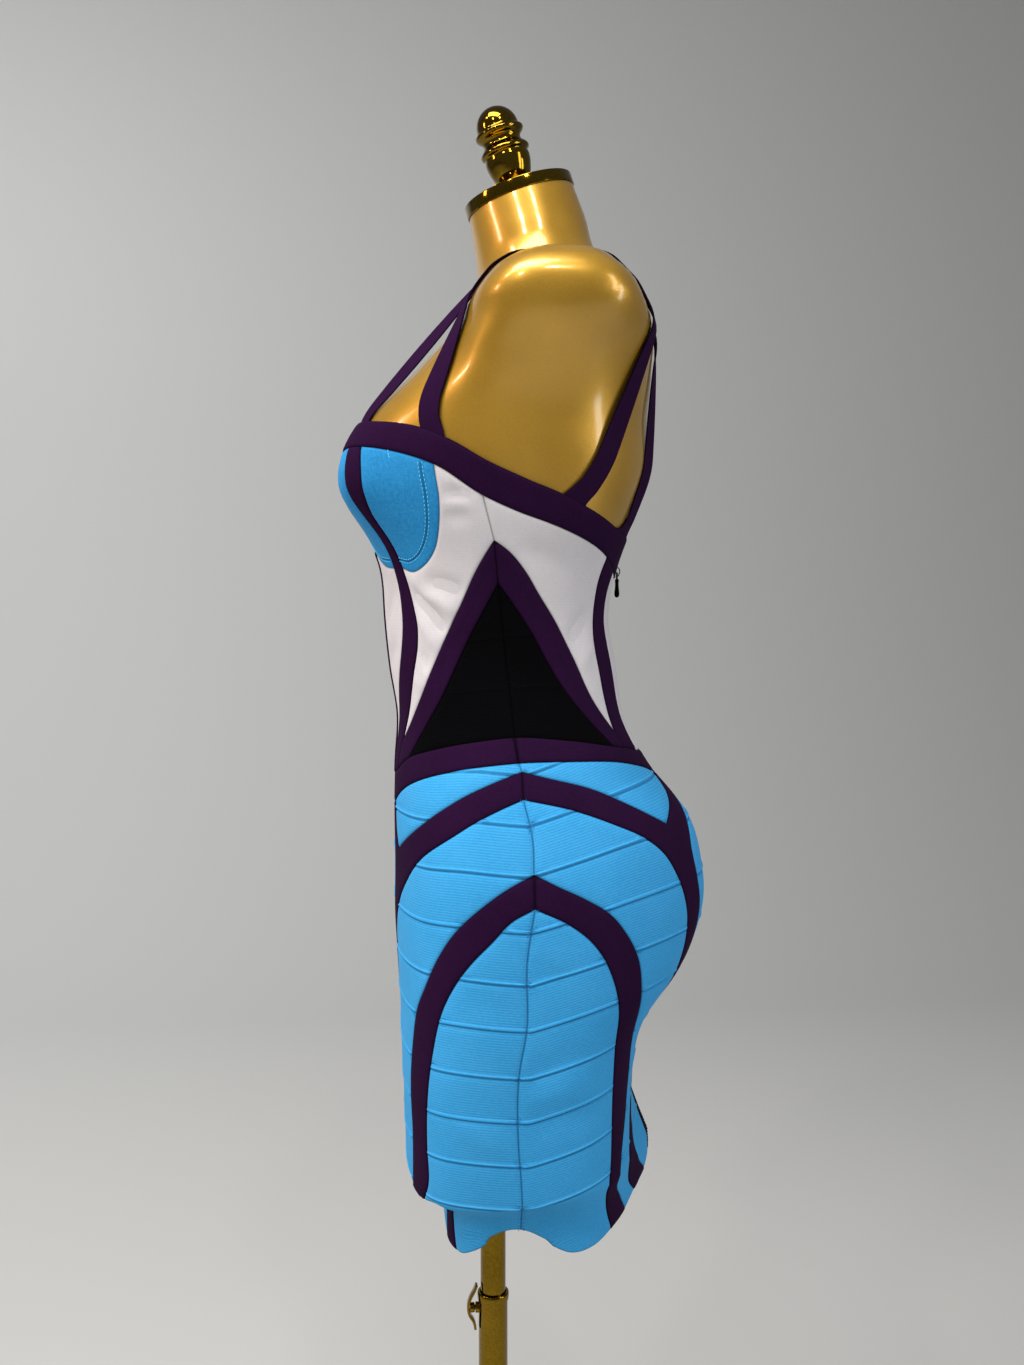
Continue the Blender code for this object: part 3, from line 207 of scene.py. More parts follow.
def cloth(deg, height, out=0.0):
    """Points of the cloth, out millimetres outside the panels' face."""
    deg, height = np.asarray(deg, float), np.asarray(height, float)
    return body(deg, height) + normal(deg, height) * (hem_shift(deg, height) + out)[..., None]


def form_inset(height):
    """How far the skin of the form lies inside the panels' face."""
    u = np.clip((BARE_FROM - height) / 60, 0, 1)
    return (1.6 + linear(FORM_GAP, height)) * u * u * (3 - 2 * u)


def at_x(x, height, side):
    """Degrees of the point at distance x from the middle, on the front (-1) or the back (1)."""
    x, height = np.broadcast_arrays(np.asarray(x, float), np.asarray(height, float))
    near, far = np.zeros(x.shape), np.full(x.shape, 90.0)
    for _ in range(40):
        mid = (near + far) / 2
        beyond = body(side * mid, height)[..., 0] > x
        near, far = np.where(beyond, mid, near), np.where(beyond, far, mid)
    return side * near


ZIP_HALF, FRONT_BAND_HALF, ZIP_SEWING_AT = 12.0, 11.0, 9.0


def zip_edge(height, x=ZIP_HALF):
    return (float(at_x([x], [height], 1)[0]), height)


def front_band_edge(height):
    return (float(at_x([FRONT_BAND_HALF], [height], -1)[0]), height)


# Junctions of the pattern: degrees and height
JUNCTIONS = {
    "neck_front": (-90, 1298), "neck_side": (-9, 1268), "neck_zip": zip_edge(1215), "neck_back": (90, 1215),
    "low_front": (-90, 1276), "low_princess_a": (-56, 1284), "low_princess_b": (-47.5, 1283),
    "low_cup": (-24, 1266), "low_side": (-10, 1243), "low_back_a": (44, 1199), "low_back_b": (57, 1189),
    "low_zip": zip_edge(1180),
    "cup_princess": (-55, 1190), "cup_low": (-48, 1190), "cup_band": front_band_edge(1204),
    "cup_front": (-90, 1206),
    "chevron_top": (-7, 1210), "triangle_top": (-6, 1178),
    "chevron_front": (-60, 1053), "chevron_back": (46, 1061),
    "waist_front": (-90, 1020), "waist_band": front_band_edge(1021.5), "waist_a": (-82, 1022.5),
    "waist_b": (-67, 1028), "waist_c": (-49, 1041), "waist_side": (0, 1061.5), "waist_d": (41, 1051),
    "waist_e": (49, 1048.5), "waist_f": (62, 1044), "waist_zip": zip_edge(1040),
    "hip_front": (-90, 996), "hip_a": (-83, 998), "hip_b": (-72, 1002.5), "hip_side": (1, 1043),
    "hip_c": (71, 1025), "hip_d": (81, 1021), "hip_zip": zip_edge(1019),
    "arch_top": (2, 1037), "tail_front": (-59, 966), "tail_back": (49, 991),
    "diamond_foot": (-90, 880), "arch_foot": (-90, 843), "arch_low": (2, 1017),
    "inner_top": (4, 964), "inner_low": (4, 939),
    "hem_front": (-90, 652), "hem_a": (-52, 643), "hem_b": (-37, 645), "hem_side": (2, 675),
    "hem_c": (40, 664), "hem_d": (50, 671), "hem_e": (58, 679), "hem_f": (73, 683),
    "hem_zip": zip_edge(690), "hem_back": (90, 690),
}

# Seams and edges: each runs smoothly through its junctions and the (degrees, height) places between
LINES = {
    "neck_top": ("neck_front", (-75, 1302), (-60, 1305), (-45, 1302), (-29, 1294), (-20, 1284), "neck_side",
        (3, 1255), (15, 1245), (30, 1232), (46, 1221), (64, 1217), "neck_zip"),
    "neck_low": ("low_front", (-75, 1281), "low_princess_a", "low_princess_b", (-37, 1278), "low_cup",
        "low_side", (0, 1232), (12, 1223), (28, 1211), "low_back_a", "low_back_b", "low_zip"),
    "neck_seam": ("neck_side", "low_side"),
    "zip_top": ("neck_back", "neck_zip"),
    "zip_foot": ("hem_zip", "hem_back"),
    "front_seam": ("low_front", "cup_front"),
    "princess_front_inner": ("low_princess_a", (-55, 1265), (-55, 1240), (-55, 1212), "cup_princess",
        (-53, 1165), (-53, 1145), (-56, 1125), (-61, 1105), (-69, 1080), (-77, 1052), "waist_a"),
    "princess_front_outer": ("low_princess_b", (-46, 1263), (-46.5, 1246), (-49, 1228), (-49, 1212),
        "cup_low", (-46, 1175), (-44, 1160), (-42.5, 1145), (-43, 1130), (-46, 1110), (-51, 1083),
        "chevron_front", "waist_b"),
    "cup_edge": ("low_cup", (-23, 1241), (-25, 1220), (-29, 1203), (-35, 1192), (-42, 1187), "cup_low"),
    "cup_under": ("cup_princess", (-65, 1192), (-76, 1198), "cup_band", "cup_front"),
    "front_band": ("cup_band", *map(front_band_edge, (1170, 1135, 1100, 1060)), "waist_band"),
    "bodice_side": ("low_side", "chevron_top"),
    "chevron_front_outer": ("chevron_top", (-14, 1188), (-22, 1158), (-28, 1137), (-35, 1112), (-42, 1089),
        (-50, 1070), "chevron_front"),
    "chevron_front_inner": ("triangle_top", (-12, 1157), (-18, 1136), (-24, 1112), (-30, 1089), (-39, 1064),
        "waist_c"),
    "chevron_back_outer": ("chevron_top", (-2, 1202), (4, 1188), (10, 1170), (18, 1148), (26, 1122),
        (35, 1088), "chevron_back"),
    "chevron_back_inner": ("triangle_top", (1, 1159), (8, 1139), (15, 1115), (23, 1091), (31, 1072),
        "waist_d"),
    "princess_back_outer": ("low_back_a", (41, 1183), (40, 1161), (40, 1135), (42, 1108), (44, 1083),
        "chevron_back", "waist_e"),
    "princess_back_inner": ("low_back_b", (53, 1172), (52, 1156), (54, 1130), (56, 1100), (59, 1066),
        "waist_f"),
    "waist_top": ("waist_front", "waist_band", "waist_a", (-75, 1025), "waist_b", (-57, 1035), "waist_c",
        (-36, 1048), (-17, 1057), "waist_side", (21, 1058), "waist_d", "waist_e", "waist_f", "waist_zip"),
    "waist_low": ("hip_front", "hip_a", "hip_b", (-66, 1006), (-56, 1013), (-45, 1021), (-30, 1031),
        (-16, 1038.5), "hip_side", (19, 1043), (38, 1040), (55, 1033), "hip_c", "hip_d", "hip_zip"),
    "waist_seam": ("waist_side", "hip_side"),
    "yoke_seam": ("hip_side", "arch_top"),
    "arch_front_top": ("arch_top", (-7, 1029), (-16, 1019), (-25, 1006), (-36, 990), (-48, 976),
        "tail_front"),
    "tail_front_outer": ("hip_b", (-69, 990), (-65, 977), "tail_front"),
    "tail_front_inner": ("hip_a", (-80, 985), (-76, 968), (-73, 950), (-75, 928), (-81, 903),
        "diamond_foot"),
    "diamond_seam": ("diamond_foot", "arch_foot"),
    "arch_front_low": ("arch_low", (-4, 1011), (-12, 1001), (-20, 988), (-34, 966), (-45, 945), (-58, 922),
        (-68, 898), (-79, 867), "arch_foot"),
    "arch_back_top": ("arch_top", (10, 1032), (25, 1022), (37, 1008), "tail_back"),
    "tail_back_outer": ("hip_c", (66, 1012), (59, 1004), (53, 997), "tail_back"),
    "tail_back_inner": ("hip_d", (77, 1009), (70, 997), (63, 985), (59, 970), (59, 950), (61, 920),
        (62, 880), (63, 840), (65, 790), (60, 750), (58, 722), (63, 701), "hem_f"),
    "arch_back_low": ("arch_low", (16, 1009), (29, 996), (38, 984), (44, 970), (48, 952), (51, 931),
        (53, 909), (54, 880), (54, 850), (56, 820), (56, 780), (52, 745), (49, 715), (51, 695), "hem_e"),
    "middle_seam": ("arch_low", (4, 990), "inner_top"),
    "inner_front_top": ("inner_top", (-4, 952), (-11, 937), (-18, 918), (-24, 896), (-30, 870), (-35, 850),
        (-39, 819), (-42, 780), (-42, 740), (-45, 700), (-52, 670), "hem_a"),
    "inner_front_low": ("inner_low", (-2, 930), (-7, 915), (-13, 897), (-18, 878), (-22, 858), (-26, 823),
        (-29, 781), (-30, 746), (-30, 715), (-35, 692), (-40, 668), "hem_b"),
    "inner_back_top": ("inner_top", (10, 955), (17, 945), (24, 932), (29, 915), (33, 894), (35, 872),
        (38, 831), (41, 791), (41, 757), (38, 725), (38, 705), (44, 688), "hem_d"),
    "inner_back_low": ("inner_low", (12, 928), (18, 915), (22, 901), (25, 884), (28, 856), (29, 822),
        (30, 779), (31, 733), (31, 710), (34, 692), "hem_c"),
    "low_seam": ("inner_low", (2, 900), (2, 850), (0, 812), (0, 760), (1, 727), "hem_side"),
    "hem": ("hem_front", (-65, 650), "hem_a", "hem_b", (-16, 658), "hem_side", (12, 665), (20, 657),
        (29, 657), "hem_c", "hem_d", "hem_e", "hem_f", "hem_zip"),
    "zip_edge": ("neck_zip", "low_zip", *map(zip_edge, (1145, 1110, 1075)), "waist_zip", "hip_zip",
        *map(zip_edge, range(985, 739, -35)), "hem_zip"),
}

# Ribs of the skirt: height of each at the side seam, and its rise along its way round the body
RIBS = (1035, 999, 963, 922, 883, 848, 811, 776, 741, 705)
RISE_FRONT = ((-90, -4), (-60, -2), (-30, 0), (-15, 3), (3, 0))
RISE_BACK = ((3, 0), (17, 10), (30, 18), (45, 23), (60, 25), (90, 27))
RIB_HIGH = 0.95        # the rolled edge of each knitted strip
RIB_HALF = 1.05
RIB_GROOVE = 0.55      # the seam right under it
GROOVE_BELOW = 1.9
GROOVE_HALF = 0.75
STRIP_PUFF = 0.25      # each strip stands up a little between its seams
# Painted shade in the seam under each rib: strength, how far below, half width; and a painted highlight on
# its rolled edge: strength, half width
RIB_SHADE, SHADE_BELOW, SHADE_HALF = 0.62, 1.8, 0.6
RIB_LIGHT, LIGHT_HALF = 1.5, 0.8
EDGE_SHADE = 0.8       # depth of the shade along the pieces' edges, where the seam draws the cloth in

# Rows of points from a rib's upper to its lower foot, and between the ribs
RIB_ROWS = (3.2, 2.2, 1.5, 0.9, 0.3, -0.3, -0.9, -1.5, -2.1, -2.7, -3.4)
ROWS_BELOW, ROWS_ABOVE, ROW_STEP, LAST_STEP = 7.0, 5.0, 6.5, 5.5
TOP_STRIP = 36         # the strip over the first rib is this wide at most
LOWEST = 630.0
RIB_STRETCH = 9.5      # rows over a rib lie this much closer than elsewhere
SPREAD_FROM, SPREAD_TO = 600.0, 1100.0

# Creases of each piece: from (degrees, height) to (degrees, height), half width, how far out (+) or in (-)
CREASES = {
    "side_front_panel_l": ((-23, 1243, -13, 1244, 5.0, -1.9), (-25, 1226, -15, 1229, 6.0, -1.3),
        (-24, 1234, -14, 1236, 4.5, 1.0), (-34, 1179, -18, 1169, 6.5, -2.1),
        (-37, 1171, -22, 1151, 4.5, 1.9), (-45, 1171, -27, 1138, 4.8, -3.0),
        (-46, 1157, -32, 1126, 5.5, 1.9), (-45, 1130, -35, 1106, 5.0, -1.7),
        (-46, 1104, -38, 1088, 4.0, 1.0), (-49, 1184, -40, 1178, 4.0, 1.3)),
    "side_front_panel_r": ((-23, 1238, -13, 1240, 5.5, -1.7), (-24, 1222, -15, 1226, 6.0, -1.2),
        (-35, 1173, -19, 1166, 6.0, -1.9), (-38, 1165, -24, 1148, 4.8, 1.7),
        (-45, 1163, -28, 1134, 5.2, -2.6), (-45, 1148, -33, 1120, 5.0, 1.6),
        (-45, 1122, -36, 1100, 4.5, -1.5)),
    "side_back_panel_l": ((34, 1154, 20, 1128, 9.0, -1.9), (38, 1130, 28, 1112, 6.5, 1.3),
        (4, 1204, 22, 1186, 7.5, -0.9)),
    "side_back_panel_r": ((33, 1160, 19, 1136, 8.0, -1.8), (38, 1122, 30, 1100, 6.5, 1.3),
        (5, 1208, 24, 1192, 7.0, -0.9)),
    "centre_front_panel_l": ((-58, 1172, -74, 1150, 6.5, -1.6), (-60, 1130, -78, 1116, 7.5, -1.1)),
    "centre_front_panel_r": ((-57, 1160, -72, 1136, 7.5, -1.6), (-61, 1122, -77, 1104, 7.0, -1.1)),
    "lower_side_back_l": ((2, 792, 16, 800, 7.0, 1.5), (3, 812, 18, 828, 8.0, -1.0),
        (2, 893, 12, 884, 7.0, -0.9), (4, 770, 22, 779, 8.5, -1.0)),
    "lower_side_front_l": ((-2, 758, -16, 772, 8.0, 1.1), (-1, 860, -13, 873, 7.5, -0.8)),
    "lower_side_back_r": ((2, 806, 17, 815, 8.0, 1.3), (3, 786, 20, 794, 8.0, -1.0),
        (2, 878, 13, 866, 7.0, -0.8)),
    "lower_side_front_r": ((-2, 770, -18, 782, 8.0, 1.0), (-1, 846, -14, 860, 8.0, -0.8)),
    "middle_back_panel_l": ((44, 842, 50, 800, 7.5, -0.9),),
    "middle_back_panel_r": ((43, 850, 51, 806, 8.0, -0.9),),
    "centre_back_skirt_l": ((70, 862, 80, 838, 9.0, -1.1), (71, 800, 79, 772, 8.0, 1.4)),
    "centre_back_skirt_r": ((69, 852, 80, 832, 9.0, -1.1), (72, 792, 80, 766, 8.0, 1.4)),
    "skirt_front": ((-52, 742, -70, 752, 9.0, 1.0), (-128, 756, -112, 768, 9.0, 1.0),
        (-48, 830, -64, 842, 8.5, -0.8), (-132, 818, -116, 826, 8.5, -0.8)),
    "hip_yoke_front_l": ((-14, 1034, -40, 1006, 6.5, 0.9),),
    "hip_yoke_front_r": ((-18, 1032, -42, 1004, 6.5, 0.9),),
}

# Narrow troughs (-) and ridges (+) drawn on a piece: piece without its side, half width, out, places along it
GROOVES = (
    ("chevron_band", 0.8, -0.7, ((-7, 1209), (-6.6, 1194), (-6, 1179))),
    ("side_triangle", 0.8, -0.7, ((-6, 1177), (-3, 1120), (-1, 1086), (0, 1062.5))),
    ("side_triangle", 1.1, 0.35, ((-17.5, 1134), (-7, 1137), (7, 1139))),
    ("side_triangle", 1.1, 0.35, ((-28.5, 1093), (-12, 1097), (4, 1099), (20, 1099))),
    ("outer_arch", 0.9, -0.9, ((2, 1036), (2, 1018))),
    ("inner_arch", 0.9, -0.9, ((4, 963), (4, 940))),
    ("cup_side", 0.9, -0.55, ((-27.8, 1267), (-26.8, 1242), (-28.5, 1223), (-31.9, 1209.5), (-36.6, 1200),
                              (-42.4, 1195.4), (-47.6, 1197))),
    ("cup_inner", 0.9, -0.5, ((-57, 1197), (-66, 1199), (-76, 1205), (-84, 1211))),
)
# Painted shade in the troughs, as a share of the way to the seam colour
GROOVE_SHADE = 0.8

# Seams inside a piece: the neckline band's doesn't show, and the waist band's is a dark line, its dark
# thread with painted shade
HIDDEN_SEAM = ("neck_side", "low_side")
DARK_SHADED_SEAM = ("waist_side", "hip_side")


def seam_places(start, end):
    """Places along the seam that two junctions share, from the one to the other."""
    rows = next(rows for rows in LINES.values() if start in rows and end in rows)
    places = np.array([JUNCTIONS[row] if isinstance(row, str) else row for row in rows], float)
    lengths = np.hypot(np.diff(places[:, 0]) * ROUND, np.diff(places[:, 1]))
    along = np.concatenate(([0.0], np.cumsum(lengths)))
    s0, s1 = along[rows.index(start)], along[rows.index(end)]
    count = max(2, round(abs(s1 - s0) / EDGE_STEP))
    return smooth(np.column_stack((along, places)), np.linspace(s0, s1, count + 1))


def outline(chain, across=None):
    """Closed outline, in degrees and height, through a chain of junctions. A piece that lies across a
    middle has its chain from there to there on one half, and the other half mirrors it."""
    path = chain.split()
    if across is None:
        path.append(path[0])
    places = np.concatenate([seam_places(start, end)[:-1] for start, end in zip(path, path[1:])])
    if across is not None:
        half = np.concatenate((places, [JUNCTIONS[path[-1]]]))
        places = np.concatenate((half, half[-2:0:-1] * (-1, 1) + (2 * across, 0)))
    nxt = np.roll(places, -1, axis=0)
    area = (places[:, 0] * nxt[:, 1] - nxt[:, 0] * places[:, 1]).sum()
    return places if area > 0 else places[::-1]


def edge_distance(points, loop):
    """For each flat point, whether it lies inside the outline and how far from it."""
    a, b = loop, np.roll(loop, -1, axis=0)
    d = b - a
    rise = np.where(d[:, 1] == 0, 1e-9, d[:, 1])
    inside, distance = [], []
    for part in np.array_split(points, max(1, len(points) * len(loop) // 600000)):
        x, y = part[:, :1], part[:, 1:]
        crosses = (a[:, 1] > y) != (b[:, 1] > y)
        at = a[:, 0] + (y - a[:, 1]) / rise * d[:, 0]
        inside.append((crosses & (x < at)).sum(1) % 2 == 1)
        distance.append(to_sides(part, a, d))
    return np.concatenate(inside), np.concatenate(distance)


def to_sides(points, starts, ways):
    """How far points lie from the nearest of some straight sides."""
    p = points[:, None, :] - starts
    u = np.clip((p * ways).sum(-1) / np.maximum((ways * ways).sum(-1), 1e-9), 0, 1)
    return np.sqrt(((p - u[..., None] * ways) ** 2).sum(-1)).min(1)


def line_distance(points, line):
    return to_sides(points, line[:-1], np.diff(line, axis=0))


def from_seam(flat, chain, seam):
    """How far flat points lie from a seam inside a piece; far away where the piece hasn't got it."""
    if not set(seam) <= set(chain.split()):
        return np.full(len(flat), 1e3)
    return line_distance(flat, seam_places(*seam) * (ROUND, 1.0))


def rib_rise(deg):
    place = folded(deg)
    front = smooth(RISE_FRONT, np.minimum(place, 3))[:, 0]
    back = smooth(RISE_BACK, np.maximum(place, 3))[:, 0]
    return np.where(place < 3, front, back)


def rib_out(level):
    """How far the strips and their rolled edges stand out, by height at the side seam."""
    out = np.zeros(level.shape)
    for rib in RIBS:
        t = level - rib
        out += RIB_HIGH * np.exp(-(t / RIB_HALF) ** 2)
        out -= RIB_GROOVE * np.exp(-((t + GROOVE_BELOW) / GROOVE_HALF) ** 2)
    ribs = np.array(RIBS[::-1], float)
    k = np.clip(np.searchsorted(ribs, level) - 1, 0, len(ribs) - 2)
    u = np.clip((level - ribs[k]) / (ribs[k + 1] - ribs[k]), 0, 1)
    return out + STRIP_PUFF * (1 - (2 * u - 1) ** 4)


def fill(loop, ribbed):
    """Flat points inside an outline: rows over the ribs, or an even staggered grid."""
    low, high = loop.min(0), loop.max(0)
    if ribbed:
        levels = []
        for above, rib in zip((RIBS[0] + TOP_STRIP, *RIBS), RIBS):
            count = max(1, round((above - rib - 14) / ROW_STEP))
            levels += list(np.linspace(above - ROWS_BELOW, rib + ROWS_ABOVE, count + 1))
            levels += [rib + row for row in RIB_ROWS]
        levels += list(np.arange(RIBS[-1] - 10.0, LOWEST, -LAST_STEP))
        xs, stagger = np.arange(low[0] + 2.0, high[0], GRID * 1.35), 0.3
    else:
        levels = np.arange(low[1] + GRID / 2, high[1], GRID * 0.87)
        xs, stagger = np.arange(low[0] + GRID / 2, high[0], GRID), 0.25
    x, y = np.meshgrid(xs, levels)
    x = x + np.where(np.arange(len(levels)) % 2, stagger, -stagger)[:, None] * GRID
    x, y = x.ravel(), y.ravel()
    points = np.column_stack((x, y + rib_rise(x / ROUND) if ribbed else y))
    inside, distance = edge_distance(points, loop)
    return points[inside & (distance > SEAM_WIDE + 1.6)]


def spread(flat):
    """Flat places stretched across the ribs, so that rows of points there lie as far apart as elsewhere."""
    knots, places = [SPREAD_FROM], [SPREAD_FROM]
    ribs = [row for rib in RIBS[::-1] for row in ((rib - 3.7, 1.0), (rib + 2.6, RIB_STRETCH))]
    for level, scale in (*ribs, (SPREAD_TO, 1.0)):
        places.append(places[-1] + (level - knots[-1]) * scale)
        knots.append(level)
    level = flat[:, 1] - rib_rise(flat[:, 0] / ROUND)
    return np.column_stack((flat[:, 0], np.interp(level, knots, places)))


def divided(loop):
    """A loop with more points where its sides are long in the stretched space."""
    wide = spread(loop)
    rows = []
    for p, q, a, b in zip(loop, np.roll(loop, -1, axis=0), wide, np.roll(wide, -1, axis=0)):
        count = max(1, math.ceil(np.hypot(*(b - a)) / ROW_STEP))
        rows.append(p + (q - p) * (np.arange(count) / count)[:, None])
    return np.concatenate(rows)


def set_in(loop, distance):
    """The outline's points moved inwards, without those that come too near another edge."""
    before = unit(loop - np.roll(loop, 1, axis=0))
    after = unit(np.roll(loop, -1, axis=0) - loop)
    inward = np.column_stack((-(before + after)[:, 1], (before + after)[:, 0]))
    inward = inward / np.maximum(np.linalg.norm(inward, axis=1), 1e-6)[:, None]
    moved = loop + inward * distance
    inside, away = edge_distance(moved, loop)
    return moved[inside & (away > 0.86 * distance)]


def triangles(loop, flat, ribbed):
    """Triangles between the flat points, whose first ones are the outline."""
    flat = [Vector(p) for p in (spread(flat) if ribbed else flat)]
    verts, _, faces, origin, _, _ = delaunay_2d_cdt(flat, [], [list(range(len(loop)))], 1, 1e-5)
    index = [group[0] for group in origin]
    if len(verts) != len(flat):
        raise ValueError("two points of a panel meet")
    return np.array([[index[i] for i in face] for face in faces])


def crease_out(name, x, y):
    """Soft troughs and ridges of a piece at flat points. Each is a little bowed and fades out at its ends."""
    out = np.zeros(len(x))
    for d0, h0, d1, h1, half, depth in CREASES.get(name, ()):
        ax, ay, dx, dy = d0 * ROUND, h0, (d1 - d0) * ROUND, h1 - h0
        length = math.hypot(dx, dy)
        s = ((x - ax) * dx + (y - ay) * dy) / length
        t = ((y - ay) * dx - (x - ax) * dy) / length
        t = t - 0.05 * length * np.sin(np.clip(s / length, 0, 1) * math.pi)
        ends = np.clip(np.minimum(s + 0.25 * length, 1.25 * length - s) / (0.5 * length), 0, 1)
        out += depth * np.exp(-(t / half) ** 2) * ends * ends * (3 - 2 * ends)
    return out


def flat_line(places, step):
    """Even flat points along a line of (degrees, height) places."""
    return even(np.array(places, float) * (ROUND, 1.0), step)


def sideways(line):
    """For each flat point of a line, the way square to it."""
    ahead = unit(np.gradient(line, axis=0))
    return np.column_stack((-ahead[:, 1], ahead[:, 0]))


def groove_rows(name):
    """Grooves of a piece as (half width, out, line, points along and beside the line)."""
    found = []
    for piece, half, out, places in GROOVES:
        if name.removesuffix("_l").removesuffix("_r") == piece:
            line = flat_line(places, 3.0)
            rows = [line + sideways(line) * half * shift for shift in (-2.4, -1.1, 0.0, 1.1, 2.4)]
            found.append((half, out, line, np.concatenate(rows)))
    return found


def thinned(points, least):
    """The points without those that lie too near an earlier one."""
    kept = np.empty((0, 2))
    for p in points:
        if not len(kept) or ((kept - p) ** 2).sum(1).min() > least * least:
            kept = np.concatenate((kept, p[None]))
    return kept


def new_mesh(name, points, faces, flat=None, shade=None, sharp=None, recalculate=False):
    """A smooth piece. It may have flat places on the cloth, a painted shade or highlight for each point and
    an angle from which its edges are sharp."""
    mesh = bpy.data.meshes.new(name)
    mesh.from_pydata((np.array(points) * MM).tolist(), [], [list(map(int, face)) for face in faces])
    if recalculate:
        bm = bmesh.new()
        bm.from_mesh(mesh)
        bmesh.ops.recalc_face_normals(bm, faces=bm.faces)
        bm.to_mesh(mesh)
        bm.free()
    if flat is not None:
        corners = np.empty(len(mesh.loops), np.int32)
        mesh.loops.foreach_get("vertex_index", corners)
        mesh.uv_layers.new(name="cloth").data.foreach_set("uv", (flat[corners] * MM).ravel())
        # The "seam" attribute holds the painted shade, and the painted highlight as values below nought
        mesh.attributes.new("seam", "FLOAT", "POINT").data.foreach_set("value", shade)
    mesh.shade_smooth()
    if sharp:
        mesh.set_sharp_from_angle(angle=math.radians(sharp))
    obj = bpy.data.objects.new(name, mesh)
    bpy.context.collection.objects.link(obj)
    return obj


def place_piece(obj, material, body_name, nodes=()):
    obj.data.materials.clear()
    obj.data.materials.append(material)
    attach(obj, body_name)
    if nodes:
        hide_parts(*nodes)


def panel(name, chain, material, across=None, side=1):
    """A cloth panel: outer face with rolled edges, ribs and creases, and a plain inside."""
    rise = RISES.get(material, 0.0) * (2 if name == DOUBLE_BAND else 1)
    ribbed = material == BLUE
    loop = outline(chain, across) * (ROUND, 1.0)
    if ribbed:
        loop = divided(loop)
    inner = np.concatenate([set_in(loop, 1.0), set_in(loop, SEAM_WIDE), fill(loop, ribbed)])
    grooves = groove_rows(name)
    if grooves:
        drawn_in = np.concatenate([rows for _, _, _, rows in grooves])
        inside, away = edge_distance(drawn_in, loop)
        drawn_in = thinned(drawn_in[inside & (away > 0.5)], 0.6)
        clear = np.min([line_distance(inner, line) / half for half, _, line, _ in grooves], axis=0)
        inner = np.concatenate((inner[clear > 3.2], drawn_in))
    flat = np.concatenate((loop, inner))
    faces = triangles(loop, flat, ribbed)
    _, distance = edge_distance(flat, loop)
    distance[:len(loop)] = 0.0
    rolled = distance + 3 * np.exp(-(from_seam(flat, chain, HIDDEN_SEAM) / 1.6) ** 2)
    x, y = flat.T
    roll = np.clip(1 - rolled / SEAM_WIDE, 0, 1) ** 2
    out = rise - (SEAM_ROLL + rise * 0.4) * roll
    out = out + crease_out(name, x, y) * np.clip(distance / 9, 0, 1)
    # Painted shade in the "seam" attribute: darker along the edges, down the waist band's seam and in the
    # troughs
    seam = np.clip(1 - rolled / SEAM_DARK, 0, 1) * EDGE_SHADE
    seam = np.maximum(seam, np.clip(1.6 - from_seam(flat, chain, DARK_SHADED_SEAM) / SEAM_DARK, 0, 1))
    for half, depth, line, _ in grooves:
        near = np.exp(-(line_distance(flat, line) / half) ** 2)
        out = out + depth * near
        seam = np.maximum(seam, near * (GROOVE_SHADE if depth < 0 else 0))
    level = y
    if ribbed:
        level = y - rib_rise(x / ROUND)
        out = out + rib_out(level) * np.clip(distance / 2.0, 0.45, 1)
        # On the ribbed pieces, painted shade in the seam under each rib and a painted highlight on its rolled
        # edge, the highlight as values below nought
        for rib in RIBS:
            dark = RIB_SHADE * np.exp(-((level - rib + SHADE_BELOW) / SHADE_HALF) ** 2)
            light = RIB_LIGHT * np.exp(-((level - rib) / LIGHT_HALF) ** 2) * (distance > 1.5)
            seam = np.minimum(np.maximum(seam, dark), 1 - light)
    shell = np.concatenate((cloth(x / ROUND, y, out), cloth(x / ROUND, y, -CLOTH_THICK)))
    count = len(flat)
    i = np.arange(len(loop))
    j = (i + 1) % len(loop)
    faces = np.concatenate((faces, faces[:, ::-1] + count, np.column_stack((j, i, i + count)),
                            np.column_stack((j, i + count, j + count))))
    uv = np.column_stack((x + y, distance)) if rise else np.column_stack((x, level))
    if side < 0:
        shell, faces = shell * (-1, 1, 1), faces[:, ::-1]
    shade = np.concatenate((seam, seam * 0))
    obj = new_mesh(name + "_cloth", shell, faces, np.concatenate((uv, uv)), shade, CREASE_ANGLE)
    place_piece(obj, material, "form", (name,))


# Materials. A colour is given as its sRGB hex value.
def tone(colour, alpha=1.0):
    channels = [int(colour[i:i + 2], 16) / 255 for i in (0, 2, 4)]
    return (*(c / 12.92 if c <= 0.04045 else ((c + 0.055) / 1.055) ** 2.4 for c in channels), alpha)


def add(tree, kind, inputs=None, **settings):
    """Adds a node with its settings; an input is a value, or the output that feeds it."""
    node = tree.nodes.new(kind)
    for name, value in settings.items():
        setattr(node, name, value)
    for name, value in (inputs or {}).items():
        if isinstance(value, bpy.types.NodeSocket):
            tree.links.new(value, node.inputs[name])
        else:
            node.inputs[name].default_value = value
    return node


def noise(tree, place, scale, detail=2.0, roughness=0.5):
    return add(tree, "ShaderNodeTexNoise", {
        "Vector": place, "Scale": scale, "Detail": detail, "Roughness": roughness}).outputs["Fac"]


def mixed(tree, factor, a, b, kind="FLOAT"):
    """Two values, or two colours, mixed by a factor."""
    first, result = {"FLOAT": (2, 0), "RGBA": (6, 2)}[kind]
    return add(tree, "ShaderNodeMix", {0: factor, first: a, first + 1: b}, data_type=kind).outputs[result]


def ramp(tree, value, low, high, places=(0.0, 1.0)):
    """The colour between two colours that a value stands for."""
    node = add(tree, "ShaderNodeValToRGB", {"Fac": value})
    for stop, place, colour in zip(node.color_ramp.elements, places, (low, high)):
        stop.position, stop.color = place, colour
    return node.outputs["Color"]


